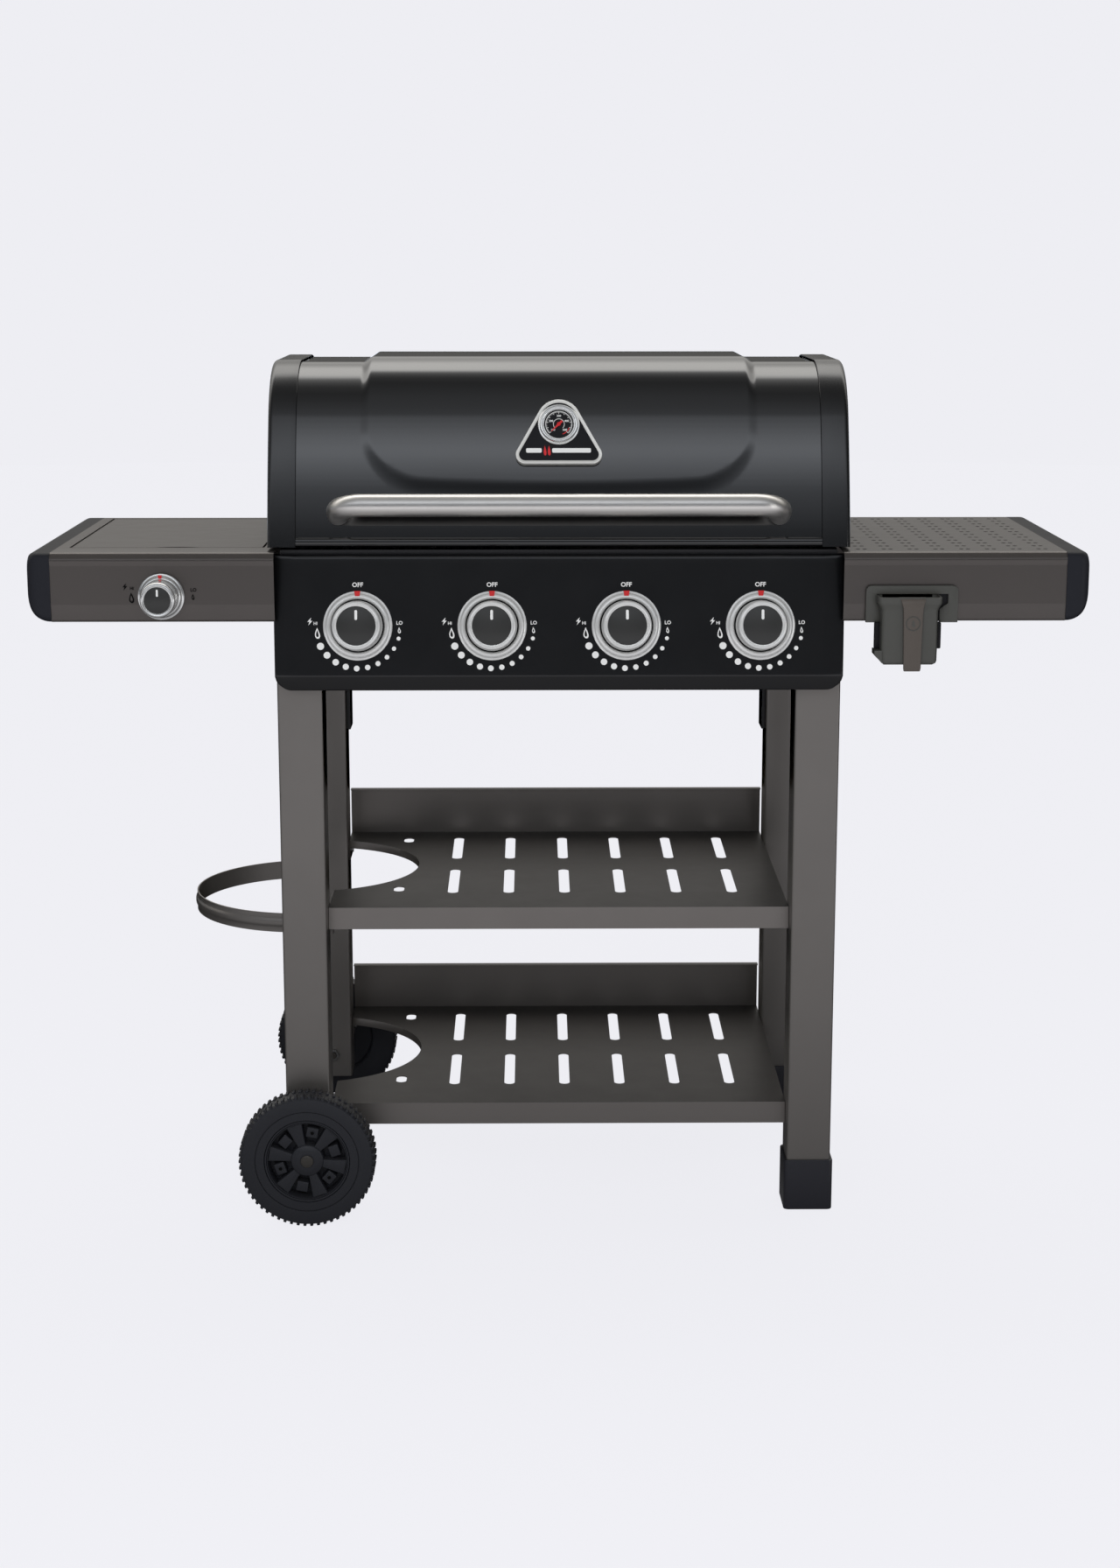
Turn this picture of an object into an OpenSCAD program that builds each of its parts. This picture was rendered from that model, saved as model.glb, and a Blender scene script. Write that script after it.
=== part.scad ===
// Gas barbecue grill on a wheeled cart, with a hinged lid, side burner and side shelf.
// Right is +X, the front faces -Y, and the floor is z = 0 under the middle of the grill.

/* [Cart] */
// Side of the square leg tube
leg_w = 57.5; // [50:0.5:60]
// Inner face of each leg from the middle
leg_inner_x = 300; // [295:1:305]
// Front and rear face of the legs from the middle
leg_face_y = 228; // [225:1:230]
// Height of the tops of the legs
leg_top = 735; // [733:1:736]
// Wall of the leg tubes
leg_wall = 1.5; // [1:0.1:3]
// Radius of the wheels
wheel_r = 88.5; // [85:0.5:89]
// Width of the wheels
wheel_w = 38; // [34:1:40]
// Outer face of each wheel from the middle
wheel_face_y = 285; // [284:1:288]
// Distance of the wheel axis from the middle
wheel_x = 327; // [322:1:330]

/* [Shelves] */
// Height of the upper shelf
upper_z = 406; // [400:1:420]
// Height of the lower shelf
lower_z = 139.5; // [137:0.5:150]
// Depth of the turned-down shelf front
shelf_lip = 29; // [26:1:32]
// Height of the shelf's rear upstand
shelf_back = 66; // [50:1:70]
// Radius of the gas cylinder's cutout and ring
ring_r = 153; // [150:1:155]

/* [Body] */
// Half of the firebox width
fire_x = 350; // [348:1:350]
// Height of the firebox rim
fire_top = 876; // [874:1:876]
// Rear face of the firebox
fire_back_y = 195; // [190:1:195]
// Half of the control panel width
panel_x = 355; // [354:0.5:355]
// Height of the cooking surface
grate_z = 862; // [860:1:864]

/* [Lid] */
// Half of the lid width
lid_x = 365; // [364:1:366]
// Height of the lid's lower edge
lid_bottom = 880; // [880:1:882]
// Height of the lid's end sections
lid_top = 1103; // [1100:1:1104]
// How far the middle panel stands proud
lid_step = 7; // [5:0.5:7]
// Height of the handle bar
handle_z = 936; // [932:1:940]
// Radius of the handle tube
handle_r = 14; // [12:0.5:15]

/* [Side shelves] */
// Outer end of the steel part of each side shelf
side_x = 633; // [620:1:640]
// Outer end of the plastic end caps
cap_x = 663; // [655:1:665]
// Height of the side shelf tops
side_top = 876; // [874:1:876]
// Height of a side shelf
side_h = 86.5; // [80:0.5:90]
// Front face of the side shelves
side_front_y = -262; // [-262:1:-260]
// Rear face of the side shelves
side_back_y = 174; // [174:1:178]

/* [Knobs] */
// Distance of the inner knobs from the middle
knob_step = 84; // [80:1:86]
// Height of the knobs
knob_z = 783.5; // [780:0.5:788]
// Radius of a knob grip
knob_r = 30.6; // [28:0.1:31]
// Outer radius of a knob bezel
bezel_r = 43.3; // [40:0.1:44]
// How far a knob stands out
knob_h = 38; // [36:0.5:38]
// Middle of the side knob
side_knob_x = -495; // [-500:1:-490]
// Height of the side knob
side_knob_z = 822; // [818:1:826]
// Radius of the side knob grip
side_knob_r = 22; // [20:0.5:23]

/* [Hidden] */
$fn = 72;

paint = [0.37, 0.36, 0.35];
black = [0.07, 0.07, 0.08];
plastic = [0.13, 0.13, 0.15];
chrome = [0.8, 0.8, 0.8];
steel = [0.6, 0.6, 0.6];
iron = [0.12, 0.12, 0.12];
brass = [0.75, 0.6, 0.3];
gap = 0.3;
run_gap = 0.06;

leg_mid_x = leg_inner_x + leg_w / 2;
leg_mid_y = leg_face_y - leg_w / 2;
short_leg_z = 55;
foot_wall = 3.3;
foot_floor = 4;
foot_h = 69;
axle_r = 5;
bolt_r = 3;

shelf_x = leg_inner_x - 0.5;
shelf_front_y = -200;
shelf_back_y = 245;
sheet = 1.5;
bolt_drop = 14;
bolt_front_y = -185;
ring_c = [-345, 40];
ring_bottom = 350;
ring_h = 26;
slot_w = 14;
slot_x0 = -140.5;
slot_pitch = 74.5;

fire_wall = 2;
fire_front_y = -leg_face_y - 0.3;
burner_z = 776;
burner_r = 13;
burner_x = [-3 * knob_step, -knob_step, knob_step, 3 * knob_step];
tamer_ledge_z = 805;
grate_ledge_z = grate_z - 14;

panel_top = 871;
panel_bend = 721;
panel_bottom = 701;
panel_top_y = -240;
panel_bend_y = -262;
panel_lean = atan((panel_top_y - panel_bend_y) / (panel_top - panel_bend));
knob_y = panel_bend_y + (knob_z - panel_bend) * tan(panel_lean);
stem_r = 4;
knob_lift = 5;

hinge_y = 200;
hinge_z = 884;
hinge_r = 4;
lid_wall = 1.5;
lid_end_in = 329.3;
lid_proud = 3;
face_r = 900;
round_r = 104;
round_y = -93.6;
back_r = 150;
lid_back_y = 212;
face_lean = 22;
join_y = round_y - round_r * cos(face_lean);
join_z = lid_top - round_r + round_r * sin(face_lean);
face_cy = join_y + face_r * cos(face_lean);
face_cz = join_z - face_r * sin(face_lean);
panel_half = 243;
raised_z = 952;

plate_z = 1019;
gauge_z = 1029;
plate_t = 2;
gauge_r = 24.6;

cover_x = [-615, -375];
cover_y = [-198, 148];
cover_pin = [141, 870];
cover_flange = 12;

bowl_x = [-605, -385];
bowl_y = [-188, 132];
bowl_z = [800, 858];
side_burner_c = [-495, -28];

tray_x = 258;
tray_y = [-150, 205];
tray_z = [702, 728];
inlet_x = -278;
inlet_z = 722;
inlet_tip_y = 300;
manifold_y = -240;
manifold_z = 750;
branch_x = -345;
branch_z = 817;

cup_x = [390, 478.6];
cup_z = [739.5, 826.5];
cup_front_y = -296;

// A flat outline in the Y-Z plane, given thickness from x0 to x1
module across(x0, x1) {
    translate([x0, 0, 0]) rotate([90, 0, 90]) linear_extrude(x1 - x0) children();
}

// A cube from one corner to the opposite one
module block(low, high) {
    translate(low) cube(high - low);
}

// A rectangle with round corners, from its lower left corner to its upper right one
module round_box(low, high, r) {
    translate([low[0] + r, low[1]]) square([high[0] - low[0] - 2 * r, high[1] - low[1]]);
    translate([low[0], low[1] + r]) square([high[0] - low[0], high[1] - low[1] - 2 * r]);
    for (x = [low[0] + r, high[0] - r], y = [low[1] + r, high[1] - r]) {
        translate([x, y]) circle(r);
    }
}

// A slot with round ends that runs from y0 to y1
module slot(x, y0, y1) {
    translate([x - slot_w / 2, y0 + slot_w / 2]) square([slot_w, y1 - y0 - slot_w]);
    for (y = [y0 + slot_w / 2, y1 - slot_w / 2]) {
        translate([x, y]) circle(slot_w / 2);
    }
}

// A round bar along X or Y
module bar_x(x0, x1, y, z, r) {
    translate([x0, y, z]) rotate([0, 90, 0]) cylinder(h = x1 - x0, r = r);
}
module bar_y(x, y0, y1, z, r) {
    translate([x, y0, z]) rotate([-90, 0, 0]) cylinder(h = y1 - y0, r = r);
}

// A place on the leaning control panel, with z pointing out of it and y up along it
module on_panel(x) {
    translate([x, knob_y, knob_z]) rotate([90 - panel_lean, 0, 0]) children();
}

// The same on the front of the left side shelf
module on_side_shelf() {
    translate([side_knob_x, side_front_y, side_knob_z]) rotate([90, 0, 0]) children();
}

// A place on the lid's raised panel at height z
module on_lid(z) {
    lean = asin((z - face_cz) / (face_r + lid_step));
    y = face_cy - (face_r + lid_step) * cos(lean);
    translate([0, y, z]) rotate([90 - lean, 0, 0]) children();
}

// One square leg tube with its bolt and axle holes
module leg(side, row, foot_z, has_axle) {
    x = side * leg_mid_x;
    y = row * leg_mid_y;
    bolt_y = row < 0 ? bolt_front_y : leg_mid_y;
    inner = leg_w - 2 * leg_wall;
    color(paint) difference() {
        translate([x - leg_w / 2, y - leg_w / 2, foot_z]) cube([leg_w, leg_w, leg_top - foot_z]);
        translate([x - inner / 2, y - inner / 2, foot_z - 1]) cube([inner, inner, leg_top]);
        for (z = [upper_z, lower_z]) {
            bar_x(side * leg_inner_x - 5, side * leg_inner_x + 5, bolt_y, z - bolt_drop, bolt_r + 0.2);
        }
        if (has_axle) {
            bar_y(-wheel_x, y - leg_w, y + leg_w, wheel_r, axle_r + 0.1);
        }
    }
}

module leg_front_left() {
    leg(-1, -1, short_leg_z, true);
}

module leg_front_right() {
    leg(1, -1, foot_floor, false);
}

module leg_rear_left() {
    leg(-1, 1, short_leg_z, true);
}

module leg_rear_right() {
    leg(1, 1, foot_floor, false);
}

// Plastic shoes on the two long legs
module foot_caps() {
    outer = leg_w + 2 * foot_wall;
    inner = leg_w + 0.2;
    color(plastic) for (row = [-1, 1]) {
        translate([leg_mid_x, row * leg_mid_y, 0]) difference() {
            linear_extrude(foot_h) round_box([-outer / 2, -outer / 2], [outer / 2, outer / 2], 4);
            translate([-inner / 2, -inner / 2, foot_floor]) cube([inner, inner, foot_h]);
        }
    }
}

// Plates on the inner faces of the rear legs, down from the firebox
module leg_brackets() {
    plate_low = 571;
    plate_high = 690;
    half_t = 3;
    color(black) for (side = [-1, 1]) {
        x = side * (leg_inner_x - half_t);
        translate([x, leg_mid_y, 0]) block([-half_t, -20, plate_low], [half_t, 24, plate_high]);
    }
}

// One pressed shelf with slots, a rear upstand and the gas cylinder's cutout
module rack_shelf(z) {
    row_a = [-122, 13];
    row_b = [74, 207];
    rim = 11;
    color(paint) difference() {
        union() {
            translate([0, 0, z - sheet]) linear_extrude(sheet) difference() {
                translate([-shelf_x, shelf_front_y]) square([2 * shelf_x, shelf_back_y - shelf_front_y]);
                translate(ring_c) circle(ring_r);
                for (i = [0:5], row = [row_a, row_b]) {
                    slot(slot_x0 + i * slot_pitch, row[0], row[1]);
                }
                slot(slot_x0 - slot_pitch + 2, -113, -85);
                slot(slot_x0 - slot_pitch + 2, 176, 204);
            }
            block([-shelf_x, shelf_front_y, z - shelf_lip], [shelf_x, shelf_front_y + sheet, z]);
            block([-shelf_x, shelf_back_y - sheet, z - sheet], [shelf_x, shelf_back_y, z + shelf_back]);
            block(
                [-shelf_x, shelf_back_y - 11, z + shelf_back - sheet],
                [shelf_x, shelf_back_y, z + shelf_back]
            );
            for (x = [-shelf_x, shelf_x - sheet]) {
                block([x, shelf_front_y, z - shelf_lip], [x + sheet, shelf_back_y, z]);
            }
            intersection() {
                translate([ring_c[0], ring_c[1], z - rim]) difference() {
                    cylinder(h = rim, r = ring_r + sheet);
                    translate([0, 0, -1]) cylinder(h = rim + 2, r = ring_r);
                }
                block([-shelf_x, shelf_front_y, z - shelf_lip], [shelf_x, shelf_back_y, z]);
            }
        }
        translate([ring_c[0], ring_c[1], z - shelf_lip - 1]) cylinder(h = shelf_lip + 2, r = ring_r);
        for (side = [-1, 1], y = [bolt_front_y, leg_mid_y]) {
            bar_x(side * shelf_x - 5, side * shelf_x + 5, y, z - bolt_drop, bolt_r + 0.2);
        }
    }
}

module upper_shelf() {
    rack_shelf(upper_z);
}

module lower_shelf() {
    rack_shelf(lower_z);
}

// Bolts that hold the shelves to the legs
module frame_bolts() {
    head = 4;
    reach = 12;
    color(steel) for (side = [-1, 1], z = [upper_z, lower_z], y = [bolt_front_y, leg_mid_y]) {
        translate([side * (shelf_x - sheet), y, z - bolt_drop]) rotate([0, side * 90, 0]) {
            cylinder(h = reach, r = bolt_r);
            translate([0, 0, -head]) cylinder(h = head, r = 5.5, $fn = 6);
        }
    }
}

// Strap that steadies the gas cylinder
module cylinder_ring() {
    start = 94.7;
    finish = 287.5;
    tab_t = 1.6;
    mid = ring_bottom + ring_h / 2;
    color(paint) {
        translate([ring_c[0], ring_c[1], 0]) rotate([0, 0, start]) rotate_extrude(angle = finish - start) {
            polygon([
                [ring_r, ring_bottom], [ring_r + 2, ring_bottom], [ring_r + 2, mid - 5],
                [ring_r + 4, mid - 3], [ring_r + 4, mid + 3], [ring_r + 2, mid + 5],
                [ring_r + 2, ring_bottom + ring_h], [ring_r, ring_bottom + ring_h]
            ]);
        }
        leg_out = leg_inner_x + leg_w;
        block([-leg_out - tab_t, 185, ring_bottom], [-leg_out, 215, ring_bottom + ring_h]);
        block([-shelf_x - 0.2 - tab_t, -125, ring_bottom], [-shelf_x - 0.2, -95, upper_z - 4]);
    }
}

// Stub axles with round heads, one through each left leg
module axle_bolts() {
    color(steel) for (row = [-1, 1]) {
        translate([-wheel_x, row * wheel_face_y, wheel_r]) rotate([row * 90, 0, 0]) {
            cylinder(h = 2, r = 8.3);
            cylinder(h = wheel_face_y - leg_face_y + leg_w + 9, r = axle_r);
        }
    }
}

// Sleeves that hold the wheels off the legs
module axle_spacers() {
    color(plastic) for (row = [-1, 1]) {
        translate([-wheel_x, row * leg_face_y, wheel_r]) rotate([-row * 90, 0, 0]) difference() {
            cylinder(h = wheel_face_y - wheel_w - leg_face_y - gap, r = 9);
            translate([0, 0, -1]) cylinder(h = wheel_face_y, r = axle_r + 0.1);
        }
    }
}

// Nuts on the inner ends of the stub axles
module axle_nuts() {
    color(steel) for (row = [-1, 1]) {
        translate([-wheel_x, row * (leg_face_y - leg_w), wheel_r]) rotate([row * 90, 0, 0]) difference() {
            cylinder(h = 7, r = 9, $fn = 6);
            translate([0, 0, -1]) cylinder(h = 9, r = axle_r + 0.05);
        }
    }
}

// One moulded wheel, with its outer face at z = 0
module wheel_shape() {
    web_r = [22, 50];
    color(plastic) difference() {
        rotate_extrude() polygon([
            [axle_r + run_gap, 2.3], [16, 2.3], [22, 9], [50, 9], [53, 3], [64, 1.5], [65, 3.5], [67, 3.5],
            [68, 1], [82, 0], [wheel_r, 6], [wheel_r, wheel_w - 6], [82, wheel_w], [68, wheel_w],
            [53, wheel_w - 2], [50, 15], [22, 15], [16, wheel_w], [axle_r + run_gap, wheel_w]
        ]);
        for (k = [0:5]) {
            rotate([0, 0, 19 + 60 * k - 18]) translate([0, 0, 5]) rotate_extrude(angle = 36) {
                translate([web_r[0] + 4, 0]) square([web_r[1] - web_r[0] - 7, 20]);
            }
        }
    }
}

module wheel_front() {
    translate([-wheel_x, -wheel_face_y, wheel_r]) rotate([-90, 0, 0]) wheel_shape();
}

module wheel_rear() {
    translate([-wheel_x, wheel_face_y, wheel_r]) rotate([90, 0, 0]) wheel_shape();
}

// Open steel tub that holds the burners and the grates
module firebox() {
    inner_x = fire_x - fire_wall;
    front = fire_front_y + fire_wall;
    back = fire_back_y - fire_wall;
    ledge = 12;
    color(black) difference() {
        union() {
            difference() {
                block([-fire_x, fire_front_y, leg_top], [fire_x, fire_back_y, fire_top]);
                block([-inner_x, front, leg_top + fire_wall], [inner_x, back, fire_top + 1]);
            }
            for (z = [grate_ledge_z, tamer_ledge_z]) {
                block([-inner_x, front, z], [inner_x, front + ledge, z + fire_wall]);
                block([-inner_x, back - ledge, z], [inner_x, back, z + fire_wall]);
            }
            for (side = [-1, 1]) {
                block(
                    [side < 0 ? -inner_x : inner_x - ledge - 4, front, grate_ledge_z],
                    [side < 0 ? -inner_x + ledge + 4 : inner_x, back, grate_ledge_z + fire_wall]
                );
            }
        }
        block([-180, -120, leg_top - 1], [180, 120, leg_top + fire_wall + 1]);
        for (x = burner_x) {
            bar_y(x, fire_front_y - 1, front + 1, burner_z, burner_r + 0.5);
            bar_y(x + 24, fire_front_y - 1, front + 1, burner_z + 6, 3.3);
        }
    }
}

// Leaning front panel with a bevelled lower edge and closed ends
module control_panel() {
    back_y = -leg_face_y - 0.5;
    outer = [
        [back_y, panel_top], [panel_top_y, panel_top], [panel_bend_y, panel_bend],
        [panel_bend_y + 10, panel_bottom], [back_y, panel_bottom]
    ];
    inner = [
        [back_y + 5, panel_top - sheet], [panel_top_y + sheet, panel_top - sheet],
        [panel_bend_y + sheet, panel_bend + 0.3], [panel_bend_y + 10.9, panel_bottom + sheet],
        [back_y + 5, panel_bottom + sheet]
    ];
    color(black) difference() {
        across(-panel_x, panel_x) polygon(outer);
        across(-panel_x + sheet, panel_x - sheet) polygon(inner);
        for (x = burner_x) {
            on_panel(x) translate([0, 0, -8]) cylinder(h = 20, r = 7);
        }
        bar_x(-panel_x - 1, -panel_x + sheet + 1, manifold_y, branch_z, 4.5);
    }
}

// Stepped chrome ring around a knob
module bezel_shape(outer_r, inner_r) {
    color(chrome) rotate_extrude() polygon([
        [inner_r, 0], [outer_r, 0], [outer_r, 3], [outer_r - 1.5, 5], [outer_r - 3.5, 6],
        [outer_r - 4.5, 8.5], [inner_r + 1, 8.5], [inner_r, 6]
    ]);
}

module knob_bezels() {
    for (x = burner_x) {
        on_panel(x) bezel_shape(bezel_r, 33);
    }
}

module side_bezel() {
    on_side_shelf() bezel_shape(29, 23.3);
}

// Brass valve behind the panel, open for its stem
module valve_shape(depth) {
    color(brass) difference() {
        translate([-9, -13, -depth]) cube([18, 24, depth - 5]);
        translate([0, 0, -depth + 4]) cylinder(h = depth, r = stem_r + run_gap);
    }
}

module valve_bodies() {
    for (x = burner_x) {
        on_panel(x) valve_shape(22);
    }
}

module side_valve() {
    on_side_shelf() valve_shape(34);
}

// Gas pipe along the valves
module gas_manifold() {
    pipe_r = 6.5;
    color(steel) difference() {
        union() {
            bar_x(-290, 290, manifold_y, manifold_z, pipe_r);
            for (x = burner_x) {
                translate([x, manifold_y, manifold_z]) cylinder(h = 21, r = 4);
            }
            translate([inlet_x, manifold_y, inlet_z]) cylinder(h = manifold_z - inlet_z, r = 5);
            bar_y(inlet_x, manifold_y - 5, 262, inlet_z, 5);
            bar_x(branch_x - 4, -285, manifold_y, manifold_z, 4);
            translate([branch_x, manifold_y, manifold_z - 4]) cylinder(h = branch_z - manifold_z + 8, r = 4);
            bar_x(side_knob_x + 9, branch_x, manifold_y, branch_z, 4);
        }
        bar_x(-285, 285, manifold_y, manifold_z, pipe_r - 1.5);
    }
}

// Ribbed hose tail where a gas hose is pushed on
module gas_inlet() {
    color(brass) translate([inlet_x, 0, inlet_z]) {
        translate([0, 262, 0]) rotate([-90, 0, 0]) cylinder(h = 12, r = 9, $fn = 6);
        translate([0, 274, 0]) rotate([-90, 0, 0]) cylinder(h = inlet_tip_y - 274, r = 4);
    }
}

// Four tube burners with a mounting tab at the rear
module main_burners() {
    tube_back = fire_back_y - 20;
    color(steel) for (x = burner_x) {
        difference() {
            bar_y(x, fire_front_y - 1, tube_back, burner_z, burner_r);
            bar_y(x, fire_front_y - 2, tube_back - 2, burner_z, burner_r - 1);
        }
        block([x - 10, tube_back, burner_z - 8], [x + 10, fire_back_y - fire_wall, burner_z - 6]);
    }
}

// Roof-shaped plates that shield the burners and spread the heat
module flame_tamers() {
    low = tamer_ledge_z + fire_wall;
    half = 55;
    rise = 24;
    color(steel) for (x = burner_x) {
        translate([x, fire_back_y - fire_wall - 1, low]) rotate([90, 0, 0]) {
            linear_extrude(fire_back_y - fire_front_y - 2 * fire_wall - 2) polygon([
                [-half, 0], [-half + 2, 0], [0, rise - 1.7], [half - 2, 0], [half, 0], [0, rise]
            ]);
        }
    }
}

// Ceramic electrodes beside the burners
module igniters() {
    color("white") for (x = burner_x) {
        bar_y(x + 24, fire_front_y - 8, fire_front_y + 34, burner_z + 6, 3);
    }
}

// Cast grate: a frame, close bars along Y and two cross bars
module cooking_grate() {
    x = [-330, -1];
    y = [fire_front_y + fire_wall + 1, fire_back_y - fire_wall - 1];
    low = grate_ledge_z + fire_wall;
    pitch = 16;
    color(iron) {
        for (i = [0:20]) {
            block([x[0] + i * pitch, y[0], grate_z - 9], [x[0] + i * pitch + 7, y[1], grate_z]);
        }
        for (cross_y = [y[0], -80, 40, y[1] - 9]) {
            block([x[0], cross_y, low], [x[0] + 20 * pitch + 7, cross_y + 9, grate_z - 3]);
        }
    }
}

// Flat cast plate with a raised border and a drain slot
module griddle_plate() {
    x = [3, 330];
    y = [fire_front_y + fire_wall + 1, fire_back_y - fire_wall - 1];
    low = grate_ledge_z + fire_wall;
    color(iron) difference() {
        block([x[0], y[0], low], [x[1], y[1], grate_z]);
        block([x[0] + 6, y[0] + 6, low + 5], [x[1] - 6, y[1] - 6, grate_z + 1]);
        block([140, y[0] + 10, low - 1], [200, y[0] + 20, low + 6]);
    }
}

// Wire rack that stands on the firebox ledges
module warming_rack() {
    z = 950;
    rack_y = [60, 160];
    end_x = 343;
    color(chrome) {
        for (y = [rack_y[0]:12.5:rack_y[1]]) {
            bar_x(-end_x, end_x, y, z, 2);
        }
        for (x = [-end_x, -115, 115, end_x]) {
            bar_y(x, rack_y[0] - 2, rack_y[1] + 2, z - 3, 2.5);
        }
        for (x = [-end_x, end_x], y = rack_y) {
            translate([x, y, grate_ledge_z + fire_wall]) cylinder(h = z - grate_ledge_z - fire_wall, r = 2.5);
        }
    }
}

// Angle rails that carry the drip tray
module tray_rails() {
    low = tray_z[0] - 2 - gap;
    color(black) for (side = [-1, 1]) {
        x = [min(side * 299.8, side * 246), max(side * 299.8, side * 246)];
        wall_x = side < 0 ? x[0] : x[1] - 2;
        block([x[0], -leg_face_y + 2, low], [x[1], leg_face_y - 4, low + 2]);
        block([wall_x, -leg_face_y + 2, low], [wall_x + 2, leg_face_y - 4, leg_top]);
    }
}

// Grease tray with a folded pull at the rear
module drip_tray() {
    color(steel) {
        difference() {
            block([-tray_x, tray_y[0], tray_z[0]], [tray_x, tray_y[1], tray_z[1]]);
            block(
                [-tray_x + sheet, tray_y[0] + sheet, tray_z[0] + sheet],
                [tray_x - sheet, tray_y[1] - sheet, tray_z[1] + 1]
            );
        }
        block([-60, tray_y[1], tray_z[1] - 8], [60, tray_y[1] + 22, tray_z[1] - 6]);
    }
}

// Section through a side shelf, open underneath
module shelf_section() {
    low = side_top - side_h;
    lip = 12;
    difference() {
        round_box([side_front_y, low], [side_back_y, side_top], 8);
        round_box([side_front_y + sheet, low + sheet], [side_back_y - sheet, side_top - sheet], 6.5);
        translate([side_front_y + lip, low - 1]) square([side_back_y - side_front_y - 2 * lip, 5]);
    }
}

// Left side shelf with the opening for the side burner
module left_shelf() {
    grip = 3;
    color(paint) difference() {
        union() {
            across(-side_x, -panel_x) shelf_section();
            for (x = [cover_x[0] - grip - 1.5, cover_x[1] + grip]) {
                block([x, cover_y[0] - 10, side_top - 18], [x + 1.5, cover_y[1] + 8, side_top - 0.5]);
            }
        }
        block(
            [cover_x[0] - grip, cover_y[0] - grip, side_top - 30],
            [cover_x[1] + grip, cover_y[1] + grip, side_top + 1]
        );
        on_side_shelf() translate([0, 0, -10]) cylinder(h = 20, r = 7);
        for (x = [cover_x[0] - 6, cover_x[1]]) {
            bar_x(x, x + 6, cover_pin[0], cover_pin[1], 2.6);
        }
    }
}

// Right side shelf with pairs of small holes in its top
module right_shelf() {
    first = [380, -225];
    pitch = [32.5, 33];
    pair = 8.5;
    hole_r = 2.4;
    color(paint) difference() {
        across(panel_x, side_x) shelf_section();
        for (i = [0:7], j = [0:11], k = [-0.5, 0.5]) {
            x = first[0] + i * pitch[0] + k * pair;
            translate([x, first[1] + j * pitch[1], side_top - 5]) cylinder(h = 10, r = hole_r, $fn = 24);
        }
    }
}

// Moulded cover over the outer end of a side shelf
module end_cap() {
    low = side_top - side_h;
    r = 14;
    plan_r = 18;
    wall = 3;
    color(plastic) difference() {
        intersection() {
            translate([0, side_back_y, 0]) rotate([90, 0, 0]) linear_extrude(side_back_y - side_front_y) {
                round_box([side_x - 40, low], [cap_x, side_top], r);
            }
            translate([0, 0, low - 1]) linear_extrude(side_h + 2) {
                round_box([side_x - 60, side_front_y], [cap_x, side_back_y], plan_r);
            }
            block([side_x, side_front_y - 1, low - 1], [cap_x + 1, side_back_y + 1, side_top + 1]);
        }
        block(
            [side_x - 1, side_front_y + wall + 3, low + wall + 3],
            [cap_x - wall - 5, side_back_y - wall - 3, side_top - wall - 3]
        );
    }
}

module left_end_cap() {
    mirror([1, 0, 0]) end_cap();
}

module right_end_cap() {
    end_cap();
}

// Bars that carry the side shelves from the firebox
module shelf_supports() {
    low = side_top - side_h + sheet + 0.5;
    thick = 14;
    out_x = 620;
    color(black) for (side = [-1, 1], y = [-226, 148]) {
        x = [min(side * fire_x, side * out_x), max(side * fire_x, side * out_x)];
        block([x[0], y, low], [x[1], y + thick, low + thick]);
    }
}

// Pressed bowl under the side burner
module burner_bowl() {
    color(steel) difference() {
        union() {
            block([bowl_x[0], bowl_y[0], bowl_z[0]], [bowl_x[1], bowl_y[1], bowl_z[1]]);
            block(
                [bowl_x[0] - 13, bowl_y[0] - 8, bowl_z[1] - sheet],
                [bowl_x[1] + 13, bowl_y[1] + 3, bowl_z[1]]
            );
        }
        block(
            [bowl_x[0] + sheet, bowl_y[0] + sheet, bowl_z[0] + sheet],
            [bowl_x[1] - sheet, bowl_y[1] - sheet, bowl_z[1] + 1]
        );
        translate([side_burner_c[0], side_burner_c[1], bowl_z[0] - 1]) cylinder(h = 5, r = 12);
    }
}

// Round ring burner with its cap
module side_burner() {
    base = bowl_z[0] + 1.5;
    color(iron) translate([side_burner_c[0], side_burner_c[1], 0]) {
        translate([0, 0, base - 11]) cylinder(h = 11, r = 11.5);
        translate([0, 0, base]) cylinder(h = 12, r = 30);
        translate([0, 0, base + 12]) cylinder(h = 5, r = 34);
        translate([0, 0, base + 17]) cylinder(h = 4, r = 27);
    }
}

// Wire support for a pan over the side burner
module pan_support() {
    z = bowl_z[1] + 2.5;
    half_y = 120;
    color(iron) {
        for (y = [-half_y, -20, 20, half_y]) {
            bar_x(bowl_x[0] - 5, bowl_x[1] + 5, side_burner_c[1] + y, z, 2.5);
        }
        for (x = [-70, 70]) {
            bar_y(side_burner_c[0] + x, side_burner_c[1] - half_y - 2, side_burner_c[1] + half_y + 2, z, 2.5);
        }
    }
}

// Pins on which the side burner's cover turns
module cover_pins() {
    color(steel) {
        bar_x(cover_x[0] - 6, cover_x[0] + 3, cover_pin[0], cover_pin[1], 2.5);
        bar_x(cover_x[1] - 3, cover_x[1] + 6, cover_pin[0], cover_pin[1], 2.5);
    }
}

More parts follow.
